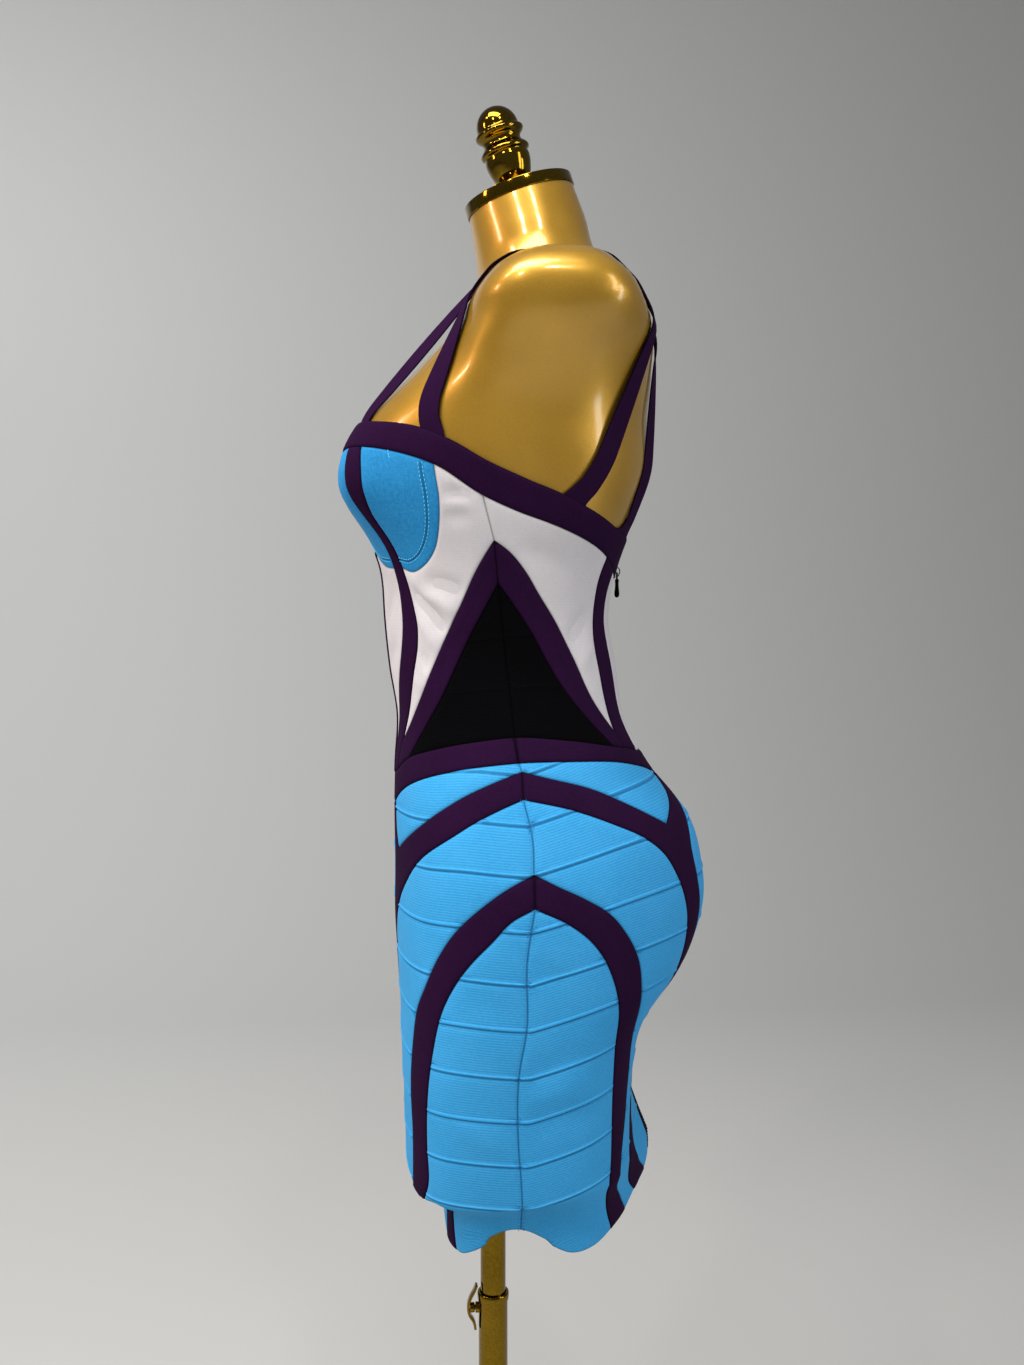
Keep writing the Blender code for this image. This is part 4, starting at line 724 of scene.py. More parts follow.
def shader_of(name, **values):
    """A new material, its node tree and its Principled shader with some of its values set."""
    material = bpy.data.materials.new(name)
    material.use_nodes = True
    tree = material.node_tree
    shader = tree.nodes["Principled BSDF"]
    for socket, value in values.items():
        shader.inputs[socket.replace("_", " ")].default_value = value
    return material, tree, shader


def surface(tree, shader, colour, height, strength, deep):
    """Gives a shader its colour, and a fine relief of a depth in millimetres."""
    relief = add(tree, "ShaderNodeBump", {"Height": height, "Strength": strength, "Distance": deep * MM})
    tree.links.new(colour, shader.inputs["Base Color"])
    tree.links.new(relief.outputs["Normal"], shader.inputs["Normal"])


def knit(name, dark, light, seam, course, edge=None, nap=0.0, roughness=0.8, sheen=0.05,
         sheen_tint="FFFFFF", bump=0.4):
    """Heavy rayon and elastane bandage knit: courses along the strip with a crepe grain, and nap for a
    brushed face. Its seam colour is painted shade, darker in its seams and troughs, and its edge colour
    is a painted highlight on the rolled edges of its ribs. Real courses are 0.7 mm apart; they are drawn
    coarser, so that they show."""
    material, tree, shader = shader_of(
        name, Roughness=roughness, Sheen_Weight=sheen, Sheen_Roughness=0.4,
        Sheen_Tint=tone(sheen_tint), Specular_IOR_Level=0.06)
    place = add(tree, "ShaderNodeUVMap", uv_map="cloth").outputs["UV"]
    solid = add(tree, "ShaderNodeTexCoord").outputs["Object"]
    flattened = add(tree, "ShaderNodeMapping", {"Vector": solid, "Scale": (0.5, 0.5, 1.0)}).outputs["Vector"]
    courses = add(tree, "ShaderNodeTexWave", {
        "Vector": place, "Scale": 0.314 / (course * MM), "Distortion": 0.5, "Detail": 1.0,
        "Detail Scale": 1.0}, wave_type="BANDS", bands_direction="Y", wave_profile="SIN").outputs["Fac"]
    crepe = noise(tree, flattened, 1 / (1.3 * MM), 2.0, 0.6)
    pile = noise(tree, solid, 1 / (2.4 * MM), 3.0, 0.7)
    grain = mixed(tree, nap, mixed(tree, 0.6, courses, crepe), pile)
    shade = mixed(tree, 0.25, grain, noise(tree, solid, 26.0))
    plain = ramp(tree, shade, tone(dark), tone(light), (0.3, 0.7))
    # Painted shade from the "seam" attribute, and a painted highlight where that attribute falls below nought
    drawn_in = add(tree, "ShaderNodeAttribute", attribute_name="seam").outputs["Fac"]
    painted_highlight = add(tree, "ShaderNodeMath", {0: drawn_in, 1: -1.0}, operation="MULTIPLY", use_clamp=True)
    shaded = mixed(tree, drawn_in, plain, tone(seam), "RGBA")
    lit = mixed(tree, painted_highlight.outputs[0], shaded, tone(edge or light), "RGBA")
    surface(tree, shader, lit, grain, bump, 0.25)
    return material


def gold(name, colour, light, metallic, roughness, coat, grain, flecks):
    """Gold finishes: a pearl lacquer with metal flecks under a clear coat, or bright plating."""
    material, tree, shader = shader_of(name, Metallic=metallic, Coat_Weight=coat, Coat_Roughness=0.13)
    place = add(tree, "ShaderNodeTexCoord").outputs["Object"]
    cloud = noise(tree, place, 11.0, 3.0)
    fleck = noise(tree, place, 1 / (flecks * MM), 2.0, 0.7)
    shades = ramp(tree, mixed(tree, 0.5, cloud, fleck), tone(colour), tone(light), (0.36, 0.64))
    rough = add(tree, "ShaderNodeMapRange", {
        "Value": fleck, "To Min": roughness * 0.8, "To Max": roughness * 1.25}).outputs["Result"]
    tree.links.new(rough, shader.inputs["Roughness"])
    surface(tree, shader, shades, cloud, grain, 0.4)
    return material


def yarn(name, colour):
    """Twisted polyester thread: a soft gloss with the twist drawn as fine noise."""
    material, tree, shader = shader_of(name, Roughness=0.55, Specular_IOR_Level=0.4)
    place = add(tree, "ShaderNodeTexCoord").outputs["Object"]
    dark = tone(colour)
    light = tuple(min(1.0, c * 1.6) for c in dark[:3]) + (1.0,)
    twist = ramp(tree, noise(tree, place, 1 / (0.6 * MM)), dark, light)
    tree.links.new(twist, shader.inputs["Base Color"])
    return material


# Each knit's fourth colour is its painted shade, for its seams, its troughs and the seams under the ribs
# matt stretched knit, with a painted highlight on its ribs' rolled edges where the yarn catches the light
BLUE = knit("sky blue bandage knit", "2C8AC2", "409BD4", "114878", 2.0, edge="63B9EC", sheen=0.05,
            sheen_tint="BFE4FF")
# brushed: the pile hides the courses and gives a soft mottled face
NAPPED = knit("brushed sky blue knit", "1B6FA6", "3089C2", "0F4A78", 2.0, nap=0.9, sheen=0.10,
              sheen_tint="9AD4FF", bump=0.6)
# deep, and almost black in the shade
PLUM = knit("plum bandage knit", "1C0824", "270D2F", "050208", 1.3, nap=0.6, roughness=0.95, sheen=0.0)
WHITE = knit("white bandage knit", "B9B6BA", "C8C5C9", "747A75", 1.2, nap=0.4, sheen=0.04, bump=0.2)
BLACK = knit("black bandage knit", "010102", "040406", "000000", 1.8, roughness=0.95, sheen=0.0)
TAPE = knit("woven black zip tape", "020203", "070709", "000000", 1.0, roughness=0.9, sheen=0.0)
# smooth, satin under a wet-looking clear coat
LACQUER = gold("pearl gold lacquer under a clear coat", "A87F20", "CE9F36", 0.62, 0.36, 0.8, 0.08, 0.5)
# mirror bright, so it is mostly what it reflects
PLATING = gold("polished gold plating", "6C5514", "8A6E20", 1.0, 0.09, 0.0, 0.04, 2.0)
# dark enamel on die-cast metal, a little brighter in random patches
GUNMETAL = gold("blackened zip metal", "0C0B0E", "1A191E", 0.9, 0.3, 0.3, 0.05, 1.0)
BLUE_THREAD = yarn("light blue thread", "4FB2E6")
DARK_BLUE_THREAD = yarn("dark blue thread", "0D4A80")
PLUM_THREAD = yarn("plum thread", "1C0726")
HEM_THREAD = yarn("sky blue thread", "2D89C0")
RISES = {PLUM: BAND_RISE, TAPE: TAPE_RISE}
DOUBLE_BAND = "centre_front_band"

# Pieces of the dress on both sides: knit, and the outline as a chain of junctions, with seams between them
PAIRS = (
    ("neck_band_back", PLUM, "neck_side neck_zip low_zip low_side"),
    ("cup_inner", NAPPED, "low_front low_princess_a cup_princess cup_front"),
    ("cup_side", NAPPED, "low_princess_b low_cup cup_low"),
    ("princess_band_front", PLUM, "low_princess_a low_princess_b waist_b waist_a"),
    ("centre_front_panel", WHITE, "cup_band cup_princess waist_a waist_band"),
    ("side_front_panel", WHITE, "low_cup low_side chevron_top chevron_front cup_low"),
    ("side_back_panel", WHITE, "low_side low_back_a chevron_back chevron_top"),
    ("chevron_band", PLUM, "chevron_top chevron_front waist_b waist_c triangle_top waist_d waist_e"
        " chevron_back"),
    ("side_triangle", BLACK, "triangle_top waist_c waist_d"),
    ("princess_band_back", PLUM, "low_back_a low_back_b waist_f waist_e"),
    ("centre_back_panel", WHITE, "low_back_b low_zip waist_zip waist_f"),
    ("waist_band_back", PLUM, "waist_side waist_zip hip_zip hip_side"),
    ("hip_yoke_front", BLUE, "hip_b hip_side arch_top tail_front"),
    ("hip_yoke_back", BLUE, "hip_side hip_c tail_back arch_top"),
    ("outer_arch", PLUM, "hip_a hip_b tail_front arch_top tail_back hip_c hip_d hem_f hem_e arch_low"
        " arch_foot diamond_foot"),
    ("middle_back_panel", BLUE, "arch_low hem_e hem_d inner_top"),
    ("inner_arch", PLUM, "inner_top hem_a hem_b inner_low hem_c hem_d"),
    ("lower_side_front", BLUE, "inner_low hem_b hem_side"),
    ("lower_side_back", BLUE, "inner_low hem_side hem_c"),
    ("centre_back_skirt", BLUE, "hip_d hip_zip hem_zip hem_f"),
)

# Single pieces that lie across the front (-90) or the back (90)
MIDDLES = (
    ("neck_band_front", PLUM, -90, "neck_front neck_side low_side low_front"),
    ("centre_front_band", PLUM, -90, "cup_front cup_band waist_band waist_front"),
    ("waist_band_front", PLUM, -90, "waist_front waist_side hip_side hip_front"),
    ("front_diamond", BLUE, -90, "hip_front hip_a diamond_foot"),
    ("skirt_front", BLUE, -90, "arch_foot arch_low inner_top hem_a hem_front"),
    ("zip_tape", TAPE, 90, "neck_back neck_zip hem_zip hem_back"),
)


def tube_faces(rings, size):
    """Faces of a closed tube of rings of points, with its two ends."""
    k, i = np.meshgrid(np.arange(rings - 1), np.arange(size), indexing="ij")
    j = (i + 1) % size
    sides = np.stack((k * size + i, k * size + j, (k + 1) * size + j, (k + 1) * size + i), -1).reshape(-1, 4)
    last = (rings - 1) * size
    return sides.tolist() + [list(range(size))[::-1], list(range(last, last + size))]


def torso_skin():
    heights = []
    for low, high in zip(FORM_LEVELS, FORM_LEVELS[1:]):
        heights += list(np.linspace(low, high, max(3, math.ceil((high - low) / 6)), endpoint=False))
    heights = np.array(heights + [NECK_TOP])
    degs = np.arange(-90, 270, 2.5)
    deg, height = (grid.ravel() for grid in np.meshgrid(degs, heights))
    level = np.maximum(height, ROUND_TOP)
    n = normal(deg, level)
    points = body(deg, level) - n * form_inset(level)[:, None]
    low = height < ROUND_TOP
    insets = smooth(FORM_FOOT, height[low])
    points[low] -= unit(n[low] * (1, 1, 0)) * insets
    points[low, 2] = height[low]
    skin = new_mesh("torso_skin", points, tube_faces(len(heights), len(degs)), sharp=60)
    place_piece(skin, LACQUER, "form", ("torso",))


torso_skin()
for piece, fabric, path in PAIRS:
    for end, side in (("_l", 1), ("_r", -1)):
        panel(piece + end, path, fabric, side=side)
for piece, fabric, across, path in MIDDLES:
    panel(piece, path, fabric, across)


# Straps, taut folded ribbons that are sewn in behind the neckline band: ends in front in degrees, distance
# of the shoulder's crossing from the middle, ends at the back, and the degrees by which the free length in
# front and at the back turns outwards
STRAPS = (
    ("strap_inner", (-60, -50), 82, (70, 46), (21.0, 14.0)),
    ("strap_outer", (-29, -21.5), 101, (25, 16), (4.0, 4.0)),
)
STRAP_WIDTH = 18.0
STRAP_THICK = 1.4
STRAP_STEP = 4.5       # spacing of its rings of points
STRAP_LIFT = 2.3       # over the shoulder's skin
STRAP_TUCK = 7.0       # length sewn in behind the band
TUCK_IN, EDGE_IN = 2.15, 1.3     # how far inside the panels' face it lies there, and at the band's edge
SLANT_FADE, FOOT_FADE = 90, 14   # lengths over which it leaves the slant and the shape of its foot
SHARPNESS = 2.4        # how quickly it rises to the shoulder
# Across its width: place, and thickness over its rolled edges
STRAP_EDGE = ((-0.5, 0.25), (-0.488, 0.7), (-0.46, 1.0), (-0.36, 0.9), (-0.18, 0.96), (0.0, 1.0),
              (0.18, 0.96), (0.36, 0.9), (0.46, 1.0), (0.488, 0.7), (0.5, 0.25))
OFFSETS, PLUMP = np.array(STRAP_EDGE).T
MIDDLE = len(OFFSETS) // 2
BAND_TOP = seam_places("neck_front", "neck_zip")


def strap_foot(start, end):
    """A strap's end: its points and normals at the band's edge, and where it is sewn in."""
    deg = start + (end - start) * (OFFSETS + 0.5)
    height = np.interp(deg, *BAND_TOP.T)
    n, tuck = normal(deg, height), normal(deg, height - STRAP_TUCK)
    return body(deg, height + 0.5) - n * EDGE_IN, n, body(deg, height - STRAP_TUCK) - tuck * TUCK_IN, tuck


def taut(spots):
    """Which points of a line over the shoulder a taut strap touches."""
    hull = []
    for i, p in enumerate(spots):
        while len(hull) > 1:
            a, b = spots[hull[-2]], spots[hull[-1]]
            if (b[1] - a[1]) * (p[2] - a[2]) - (b[2] - a[2]) * (p[1] - a[1]) < 0:
                break
            hull.pop()
        hull.append(i)
    return hull


def strap_path(front, back, top_x):
    """Points and normals of a strap's middle line, from foot to foot over the shoulder."""
    heights = np.arange(1385.0, 1460.0, 0.1)
    summit = heights[smooth(SECTIONS, heights)[:, 0] > top_x + 0.2].max()
    spots, ways = [], []
    u = np.arange(1, 60) / 60
    for way, foot in ((-1, front), (1, back)):
        low = foot[0][MIDDLE]
        height = low[2] + 3 + (summit - low[2] - 3) * (1 - (1 - u) ** SHARPNESS)
        deg = at_x(low[0] + (top_x - low[0]) * u, height, way)
        n = normal(deg, height)
        rows = np.concatenate((low[None], body(deg, height) + n * (STRAP_LIFT - form_inset(height))[:, None]))
        n = np.concatenate((foot[1][MIDDLE][None], n))
        spots.append(rows[::-way])
        ways.append(n[::-way])
    spots, ways = np.concatenate(spots), np.concatenate(ways)
    hull = taut(spots)
    return spots[hull], ways[hull]


def strap(name, front_ends, top_x, back_ends, turns, side):
    front, back = strap_foot(*front_ends), strap_foot(*back_ends)
    path, ways = strap_path(front, back, top_x)
    lengths = np.linalg.norm(np.diff(path, axis=0), axis=1)
    along = np.concatenate(([0.0], np.cumsum(lengths)))
    total = along[-1]
    free = []
    for part in (along[:-1] < total / 2, along[:-1] >= total / 2):
        k = np.argmax(np.where(part, lengths, 0))
        free.append((0.0 if part[0] else along[k], along[k + 1] if part[0] else total))

    def read(s):
        k = np.clip(np.searchsorted(along, s, side="right") - 1, 0, len(path) - 2)
        u = ((s - along[k]) / lengths[k])[..., None]
        n = unit(ways[k] + np.clip(u, 0, 1) * (ways[k + 1] - ways[k]))
        return path[k] + u * (path[k + 1] - path[k]), n

    def ahead_at(s, reach):
        return unit(read(s + reach)[0] - read(s - reach)[0])

    start = read(np.array([4.0]))[0][0] - front[0][MIDDLE]
    sign = 1 if (front[0][-1] - front[0][0]) @ np.cross(start, front[1][MIDDLE]) > 0 else -1
    rings = [(front[2], front[3], 0.8)]
    for s in np.linspace(0, total, max(8, round(total / STRAP_STEP)) + 1):
        skew = np.zeros(len(OFFSETS))
        for foot, end, way in ((front, 0.0, 1), (back, total, -1)):
            fade = max(0.0, 1 - abs(s - end) / SLANT_FADE) ** 2
            skew += (foot[0] - foot[0][MIDDLE]) @ ahead_at(np.array([end + 2.0 * way]), 2.0)[0] * fade
        point, n = read(s + skew)
        ahead = ahead_at(s + skew, 7)
        across = unit(np.cross(ahead, n))
        n = unit(np.cross(across, ahead))
        turn = math.radians(sum(most * math.sin(math.pi * min(1.0, max(0.0, (s - a) / (b - a)))) ** 0.6
                                for (a, b), most in zip(free, turns)))
        out = np.where(across[:, :1] > 0, 1.0, -1.0)
        across, n = (across * math.cos(turn) - out * n * math.sin(turn),
                     n * math.cos(turn) + out * across * math.sin(turn))
        point = point + across * (sign * OFFSETS * STRAP_WIDTH)[:, None]
        for foot, end in ((front, 0.0), (back, total)):
            blend = max(0.0, 1 - abs(s - end) / FOOT_FADE) ** 2
            point = point * (1 - blend) + foot[0] * blend
            n = unit(n * (1 - blend) + foot[1] * blend)
        rings.append((point, n, 1.0))
    rings.append((back[2], back[3], 0.8))
    halves = [n * (PLUMP * full * STRAP_THICK / 2)[:, None] for _, n, full in rings]
    points = np.concatenate([half for (p, _, _), h in zip(rings, halves) for half in (p + h, (p - h)[::-1])])
    width = np.concatenate((OFFSETS, OFFSETS[::-1]))
    uv = np.column_stack((np.repeat(np.arange(len(rings)) * STRAP_STEP, len(width)),
                          np.tile(width * STRAP_WIDTH, len(rings))))
    # Painted shade along the strap's rolled edges, 0.7 of the way to the plum's seam colour
    edge = np.tile(np.abs(width) > 0.487, len(rings))
    obj = new_mesh(name + "_cloth", points * (side, 1, 1), tube_faces(len(rings), len(width)), uv, edge * 0.7,
                   recalculate=True)
    place_piece(obj, PLUM, "form", (name,))


for name, *sizes in STRAPS:
    strap(name + "_l", *sizes, 1)
    strap(name + "_r", *sizes, -1)


# Sewing: each stitch is a short round-ended bar that lies on the cloth
STITCH_PROFILE = ((-0.5, 0.0), (-0.42, 0.8), (0.0, 1.0), (0.42, 0.8), (0.5, 0.0))


def stitches(name, lines, material, length, thick, pitch, out, turn=0.0, both=True):
    """Stitches along lines of (degrees, height) places, as one piece; turn crosses them to the line."""
    around = np.radians(np.arange(0, 360, 72))
    bar = np.array([(s, math.cos(t) * r, math.sin(t) * r)
                    for s, r in STITCH_PROFILE for t in (around if r else (0.0,))])
    bar = bar * (length, thick * 0.6, thick * 0.4)
    steps = [(i, (i + 1) % 5) for i in range(5)]
    pattern = [(0, 1 + j, 1 + i) for i, j in steps]
    pattern += [(k + i, k + j, k + 5 + j, k + 5 + i) for k in (1, 6) for i, j in steps]
    pattern += [(11 + i, 11 + j, 16) for i, j in steps]
    points = []
    for places in lines:
        flat = flat_line(places, pitch)
        ahead = unit(np.gradient(flat, axis=0))
        aim = flat + ahead * math.cos(turn) + sideways(flat) * math.sin(turn)
        deg, height = flat[:, 0] / ROUND, flat[:, 1]
        centre = cloth(deg, height, out)
        along = unit(cloth(aim[:, 0] / ROUND, aim[:, 1], out) - centre)
        beside = unit(np.cross(normal(deg, height), along))
        ways = np.stack((along, beside, np.cross(along, beside)), 1)
        points.append((centre[:, None] + bar @ ways).reshape(-1, 3))
    points = np.concatenate(points)
    faces = [[first + i for i in face] for first in range(0, len(points), len(bar)) for face in pattern]
    if both:
        faces += [[len(points) + i for i in face[::-1]] for face in faces]
        points = np.concatenate((points, points * (-1, 1, 1)))
    place_piece(new_mesh(name, points, faces), material, "form")


def beside_lines(lines, *shifts):
    """Lines of places moved sideways by some millimetres."""
    flats = [flat_line(places, 4.0) for places in lines]
    return [(flat + sideways(flat) * shift) / (ROUND, 1.0) for flat in flats for shift in shifts]


CUP_SEWING = [places for piece, _, _, places in GROOVES if piece in ("cup_side", "cup_inner")]
SIDE_SEAMS = [seam_places("inner_low", "hem_side"), seam_places("arch_low", "inner_top")]
HEM_SEAMS = [seam_places(*ends) for ends in
             (("hem_b", "hem_side"), ("hem_side", "hem_c"), ("hem_front", "hem_a"), ("hem_f", "hem_zip"))]
RIGHT_ANGLE = math.pi / 2
stitches("cup_topstitch", beside_lines(CUP_SEWING, -1.3, 1.3), BLUE_THREAD, 2.3, 0.55, 3.1, 0.1)
stitches("cup_tack", [((-37.2, 1277), (-37.0, 1275), (-36.7, 1273))], BLUE_THREAD, 2.6, 0.6, 2.4, 0.2)
stitches("side_seam_sewing", beside_lines(SIDE_SEAMS, -2.0, 2.0), DARK_BLUE_THREAD, 0.9, 0.5, 4.2, 0.0,
         RIGHT_ANGLE)
stitches("hem_sewing", beside_lines(HEM_SEAMS, 11.0), HEM_THREAD, 2.0, 0.4, 4.6, 0.0)


# Hard pieces
def edit(select="SELECT"):
    bpy.ops.object.mode_set(mode="EDIT")
    bpy.ops.mesh.select_mode(type="VERT")
    bpy.ops.mesh.select_all(action=select)


def edit_below(obj, height):
    """Edits the points of a piece that lie below a height."""
    edit("DESELECT")
    mesh = bmesh.from_edit_mesh(obj.data)
    for vert in mesh.verts:
        vert.select = vert.co.z < height
    mesh.select_flush(True)
    bmesh.update_edit_mesh(obj.data)


def apply_place():
    bpy.ops.object.transform_apply(location=True, rotation=True, scale=True)


def pick(*objs):
    """Selects pieces; the last one is the active one."""
    bpy.ops.object.select_all(action="DESELECT")
    for obj in objs:
        obj.select_set(True)
    bpy.context.view_layer.objects.active = objs[-1]


def joined(part, obj):
    pick(part, obj)
    bpy.ops.object.join()
    return obj


def finished(obj, name, material, body_name, node, angle=32):
    """Names a modelled piece, gives its place to its mesh, smooths it and hands it to its body."""
    pick(obj)
    apply_place()
    bpy.ops.object.shade_smooth_by_angle(angle=math.radians(angle))
    obj.name = obj.data.name = name
    place_piece(obj, material, body_name, (node,))


def modify(obj, kind, **settings):
    modifier = obj.modifiers.new(kind.lower(), kind)
    for key, value in settings.items():
        setattr(modifier, key, value)
    bpy.context.view_layer.objects.active = obj
    bpy.ops.object.modifier_apply(modifier=modifier.name)


def thicken(obj, thick, edge, segments):
    """Gives a sheet its thickness and rounded edges."""
    modify(obj, "SOLIDIFY", thickness=thick * MM, offset=0.0)
    modify(obj, "BEVEL", width=edge * MM, segments=segments, limit_method="ANGLE",
           angle_limit=math.radians(50))


def drawn(points):
    """A chain of edges drawn from one point by extruding it, in millimetres."""
    bpy.ops.object.select_all(action="DESELECT")
    bpy.ops.mesh.primitive_plane_add(size=0.5 * MM, location=[c * MM for c in points[0]])
    edit()
    bpy.ops.mesh.merge(type="CENTER")
    for a, b in zip(points, points[1:]):
        step = [(q - p) * MM for p, q in zip(a, b)]
        bpy.ops.mesh.extrude_region_move(TRANSFORM_OT_translate={"value": step})
    return bpy.context.active_object


def curved(rows, step):
    """A profile drawn smoothly through its points."""
    return [tuple(p) for p in even(rows, step)]


def strip(line, wide, thick, edge, segments):
    """A bent strip: its line, as (forwards, up), pulled sideways to its width and thickened."""
    obj = drawn([(-wide / 2, y, z) for y, z in line])
    bpy.ops.mesh.select_all(action="SELECT")
    bpy.ops.mesh.extrude_region_move(TRANSFORM_OT_translate={"value": (wide * MM, 0, 0)})
    bpy.ops.mesh.select_all(action="SELECT")
    bpy.ops.mesh.normals_make_consistent(inside=False)
    bpy.ops.object.mode_set(mode="OBJECT")
    thicken(obj, thick, edge, segments)
    return obj


def lathe(profile, steps=72):
    """A turned shape: the profile, as radius and height, drawn and spun round the upright axis."""
    obj = drawn([(r, 0.0, z) for r, z in profile])
    bpy.ops.mesh.select_all(action="SELECT")
    bpy.ops.mesh.spin(steps=steps, angle=2 * math.pi, center=(0, 0, 0), axis=(0, 0, 1))
    bpy.ops.mesh.select_all(action="SELECT")
    bpy.ops.mesh.remove_doubles(threshold=0.01 * MM)
    bpy.ops.mesh.normals_make_consistent(inside=False)
    bpy.ops.object.mode_set(mode="OBJECT")
    apply_place()
    return obj


def placed(obj, place, tilt):
    """Moves a piece to a place in millimetres and tilts it round the sideways axis."""
    obj.location = Vector(place) * MM
    obj.rotation_euler = (tilt, 0, 0)
    return obj


LEAN = math.radians(18.0)
NECK_AXIS = Vector((0, -math.sin(LEAN), math.cos(LEAN)))
NECK_END = Vector((0, 24.3, NECK_TOP))
CAP_THICK = 10.0
GAP = 0.3

cap = lathe([(0.0, GAP), (45.6, GAP), (46.2, GAP + 0.6), (46.2, 9.0), (45.9, 9.7), (45.2, CAP_THICK),
             (44.0, CAP_THICK + 0.1), (15.6, CAP_THICK + 0.1), (15.2, CAP_THICK - 0.1),
             (0.0, CAP_THICK - 0.1)], 96)
finished(placed(cap, NECK_END, LEAN), "neck_cap_plate", PLATING, "form", "neck_cap")

dome = [(17.6 * math.sin(a), 53.3 + 17.6 * math.cos(a)) for a in np.radians(np.arange(0, 92, 6))]
stem = curved([(17.7, 52.2), (19.2, 51.0), (20.3, 49.8), (20.4, 48.6), (19.2, 46.6), (17.0, 44.4),
               (15.9, 42.2), (16.0, 40.2), (17.4, 37.8), (19.6, 35.6), (20.5, 34.0), (20.2, 32.2),
               (18.8, 31.0), (18.2, 30.2)], 0.9)
goblet = curved([(18.2, 30.0), (18.8, 27.0), (18.5, 22.5), (17.4, 18.0), (15.9, 13.4), (14.0, 9.4),
                 (12.6, 6.4), (12.4, 4.6), (13.4, 3.2), (14.2, 2.2), (14.2, GAP)], 1.2)
knob = lathe(dome + stem + goblet + [(0.0, GAP)], 64)
finished(placed(knob, NECK_END + NECK_AXIS * CAP_THICK, LEAN), "finial_knob", PLATING, "form", "finial", 60)

top = FORM_BOTTOM - GAP
flange = lathe(curved([(30.2, top), (31.0, top - 1.2), (30.6, top - 3.6), (28.6, top - 6.2)], 1.0)
               + curved([(28.0, top - 6.4), (21.0, top - 8.0), (17.4, top - 10.2), (15.8, top - 13.2),
                         (15.2, top - 17.0)], 1.2)
               + [(11.3, top - 17.0), (11.3, top - 4.0), (0.0, top - 4.0), (0.0, top), (30.2, top)])
finished(flange, "socket_flange_turned", PLATING, "form", "socket_flange")

pole = lathe([(10.6, top - 4.3), (11.0, top - 4.8), (11.0, 273.6), (10.6, 273.0), (9.6, 273.0),
              (9.6, top - 4.3), (10.6, top - 4.3)])
finished(pole, "upper_tube_drawn", PLATING, "mast", "upper_tube")

CLAMP = 549.5
tube = lathe([(12.7, 12.3), (12.7, 556.6), (13.5, 557.2), (13.7, 558.2), (13.7, 562.8), (13.4, 563.6),
              (12.9, 564.0), (11.7, 564.0), (11.4, 563.6), (11.4, 12.3), (12.7, 12.3)])
boss = lathe([(2.6, 12.2), (4.6, 12.2), (4.6, 15.1), (4.1, 15.6), (2.6, 15.6), (2.6, 12.2)], 40)
tube = joined(placed(boss, (0, 0, CLAMP), RIGHT_ANGLE), tube)
finished(tube, "lower_tube_drawn", PLATING, "stand", "lower_tube")

foot = lathe([(0.0, 12.0), (13.0, 12.0), (13.0, 34.0), (19.0, 34.0)]
             + curved([(19.4, 34.0), (21.4, 32.6), (22.6, 28.6), (24.2, 21.6), (28.6, 16.6), (38.0, 14.2),
                       (90.0, 12.0), (170.0, 9.6)], 3.0)
             + curved([(171.0, 9.5), (177.0, 8.0), (179.6, 5.2), (179.8, 2.4), (178.5, 0.0)], 1.0)
             + [(0.0, 0.0)], 128)
finished(foot, "base_spun", PLATING, "stand", "base")

# Clamp lever: a bowed strip on the head of the screw
LEVER_LINE = ((14.4, 20.5), (16.6, 15.0), (19.8, 9.0), (21.6, 3.5), (21.7, -2.0), (19.9, -7.5),
              (17.6, -11.0), (16.3, -14.5), (15.6, -19.0))
lever = strip([(-a, CLAMP + h) for a, h in curved(LEVER_LINE, 1.6)], 7.2, 2.2, 0.6, 3)
screw = lathe([(0.0, 13.2), (1.8, 13.2), (2.2, 13.6), (2.2, 16.2), (3.7, 16.2), (4.2, 16.7), (4.2, 20.4),
               (0.0, 20.4)], 40)
lever = joined(placed(screw, (0, 0, CLAMP), RIGHT_ANGLE), lever)
finished(lever, "clamp_lever_cast", PLATING, "lever", "clamp_lever", 40)

# Zip: coil teeth down the middle of the tape, slider with its bridge, and the pull
ZIP_TOP, ZIP_END, SLIDER_HEIGHT = 1211.0, 694.0, 1190.0
TOOTH_PITCH = 2.6      # coarser than a real coil, so that it shows
TEETH = [((deg, ZIP_TOP - shift), (deg, ZIP_END)) for deg, shift in ((89.38, 0), (90.62, 1.3))]
STOPS = [((deg, 1213.6), (deg, 1211.4)) for deg in (88.9, 91.1)]
TAPE_SEWING = [[zip_edge(height, ZIP_SEWING_AT) for height in range(1206, 694, -8)]]
stitches("zip_coil", TEETH, GUNMETAL, 2.6, 1.5, TOOTH_PITCH, 0.9, RIGHT_ANGLE, both=False)
stitches("zip_top_stops", STOPS, GUNMETAL, 2.4, 2.6, 2.0, 0.9, RIGHT_ANGLE, both=False)
stitches("zip_tape_sewing", TAPE_SEWING, PLUM_THREAD, 2.2, 0.4, 3.4, 0.5)

slider_out = Vector(normal(np.array([90.0]), np.array([SLIDER_HEIGHT]))[0])
slider_at = Vector(cloth(np.array([90.0]), np.array([SLIDER_HEIGHT]), 0.75)[0])
bpy.ops.object.select_all(action="DESELECT")
bpy.ops.mesh.primitive_cube_add(size=MM, location=(0, 1.2 * MM, 0), scale=(9.0, 2.4, 12.0))
slider = bpy.context.active_object
apply_place()
edit_below(slider, 0)
bpy.ops.transform.resize(value=(0.72, 1, 1), center_override=(0, 0, 0))
bpy.ops.object.mode_set(mode="OBJECT")
modify(slider, "BEVEL", width=0.7 * MM, segments=3)
bridge = strip(curved([(1.6, 4.2), (3.6, 4.0), (5.2, 2.6), (5.6, 0.0), (5.2, -2.6), (3.6, -4.0), (1.6, -4.2)],
                      0.8), 2.2, 0.7, 0.2, 2)
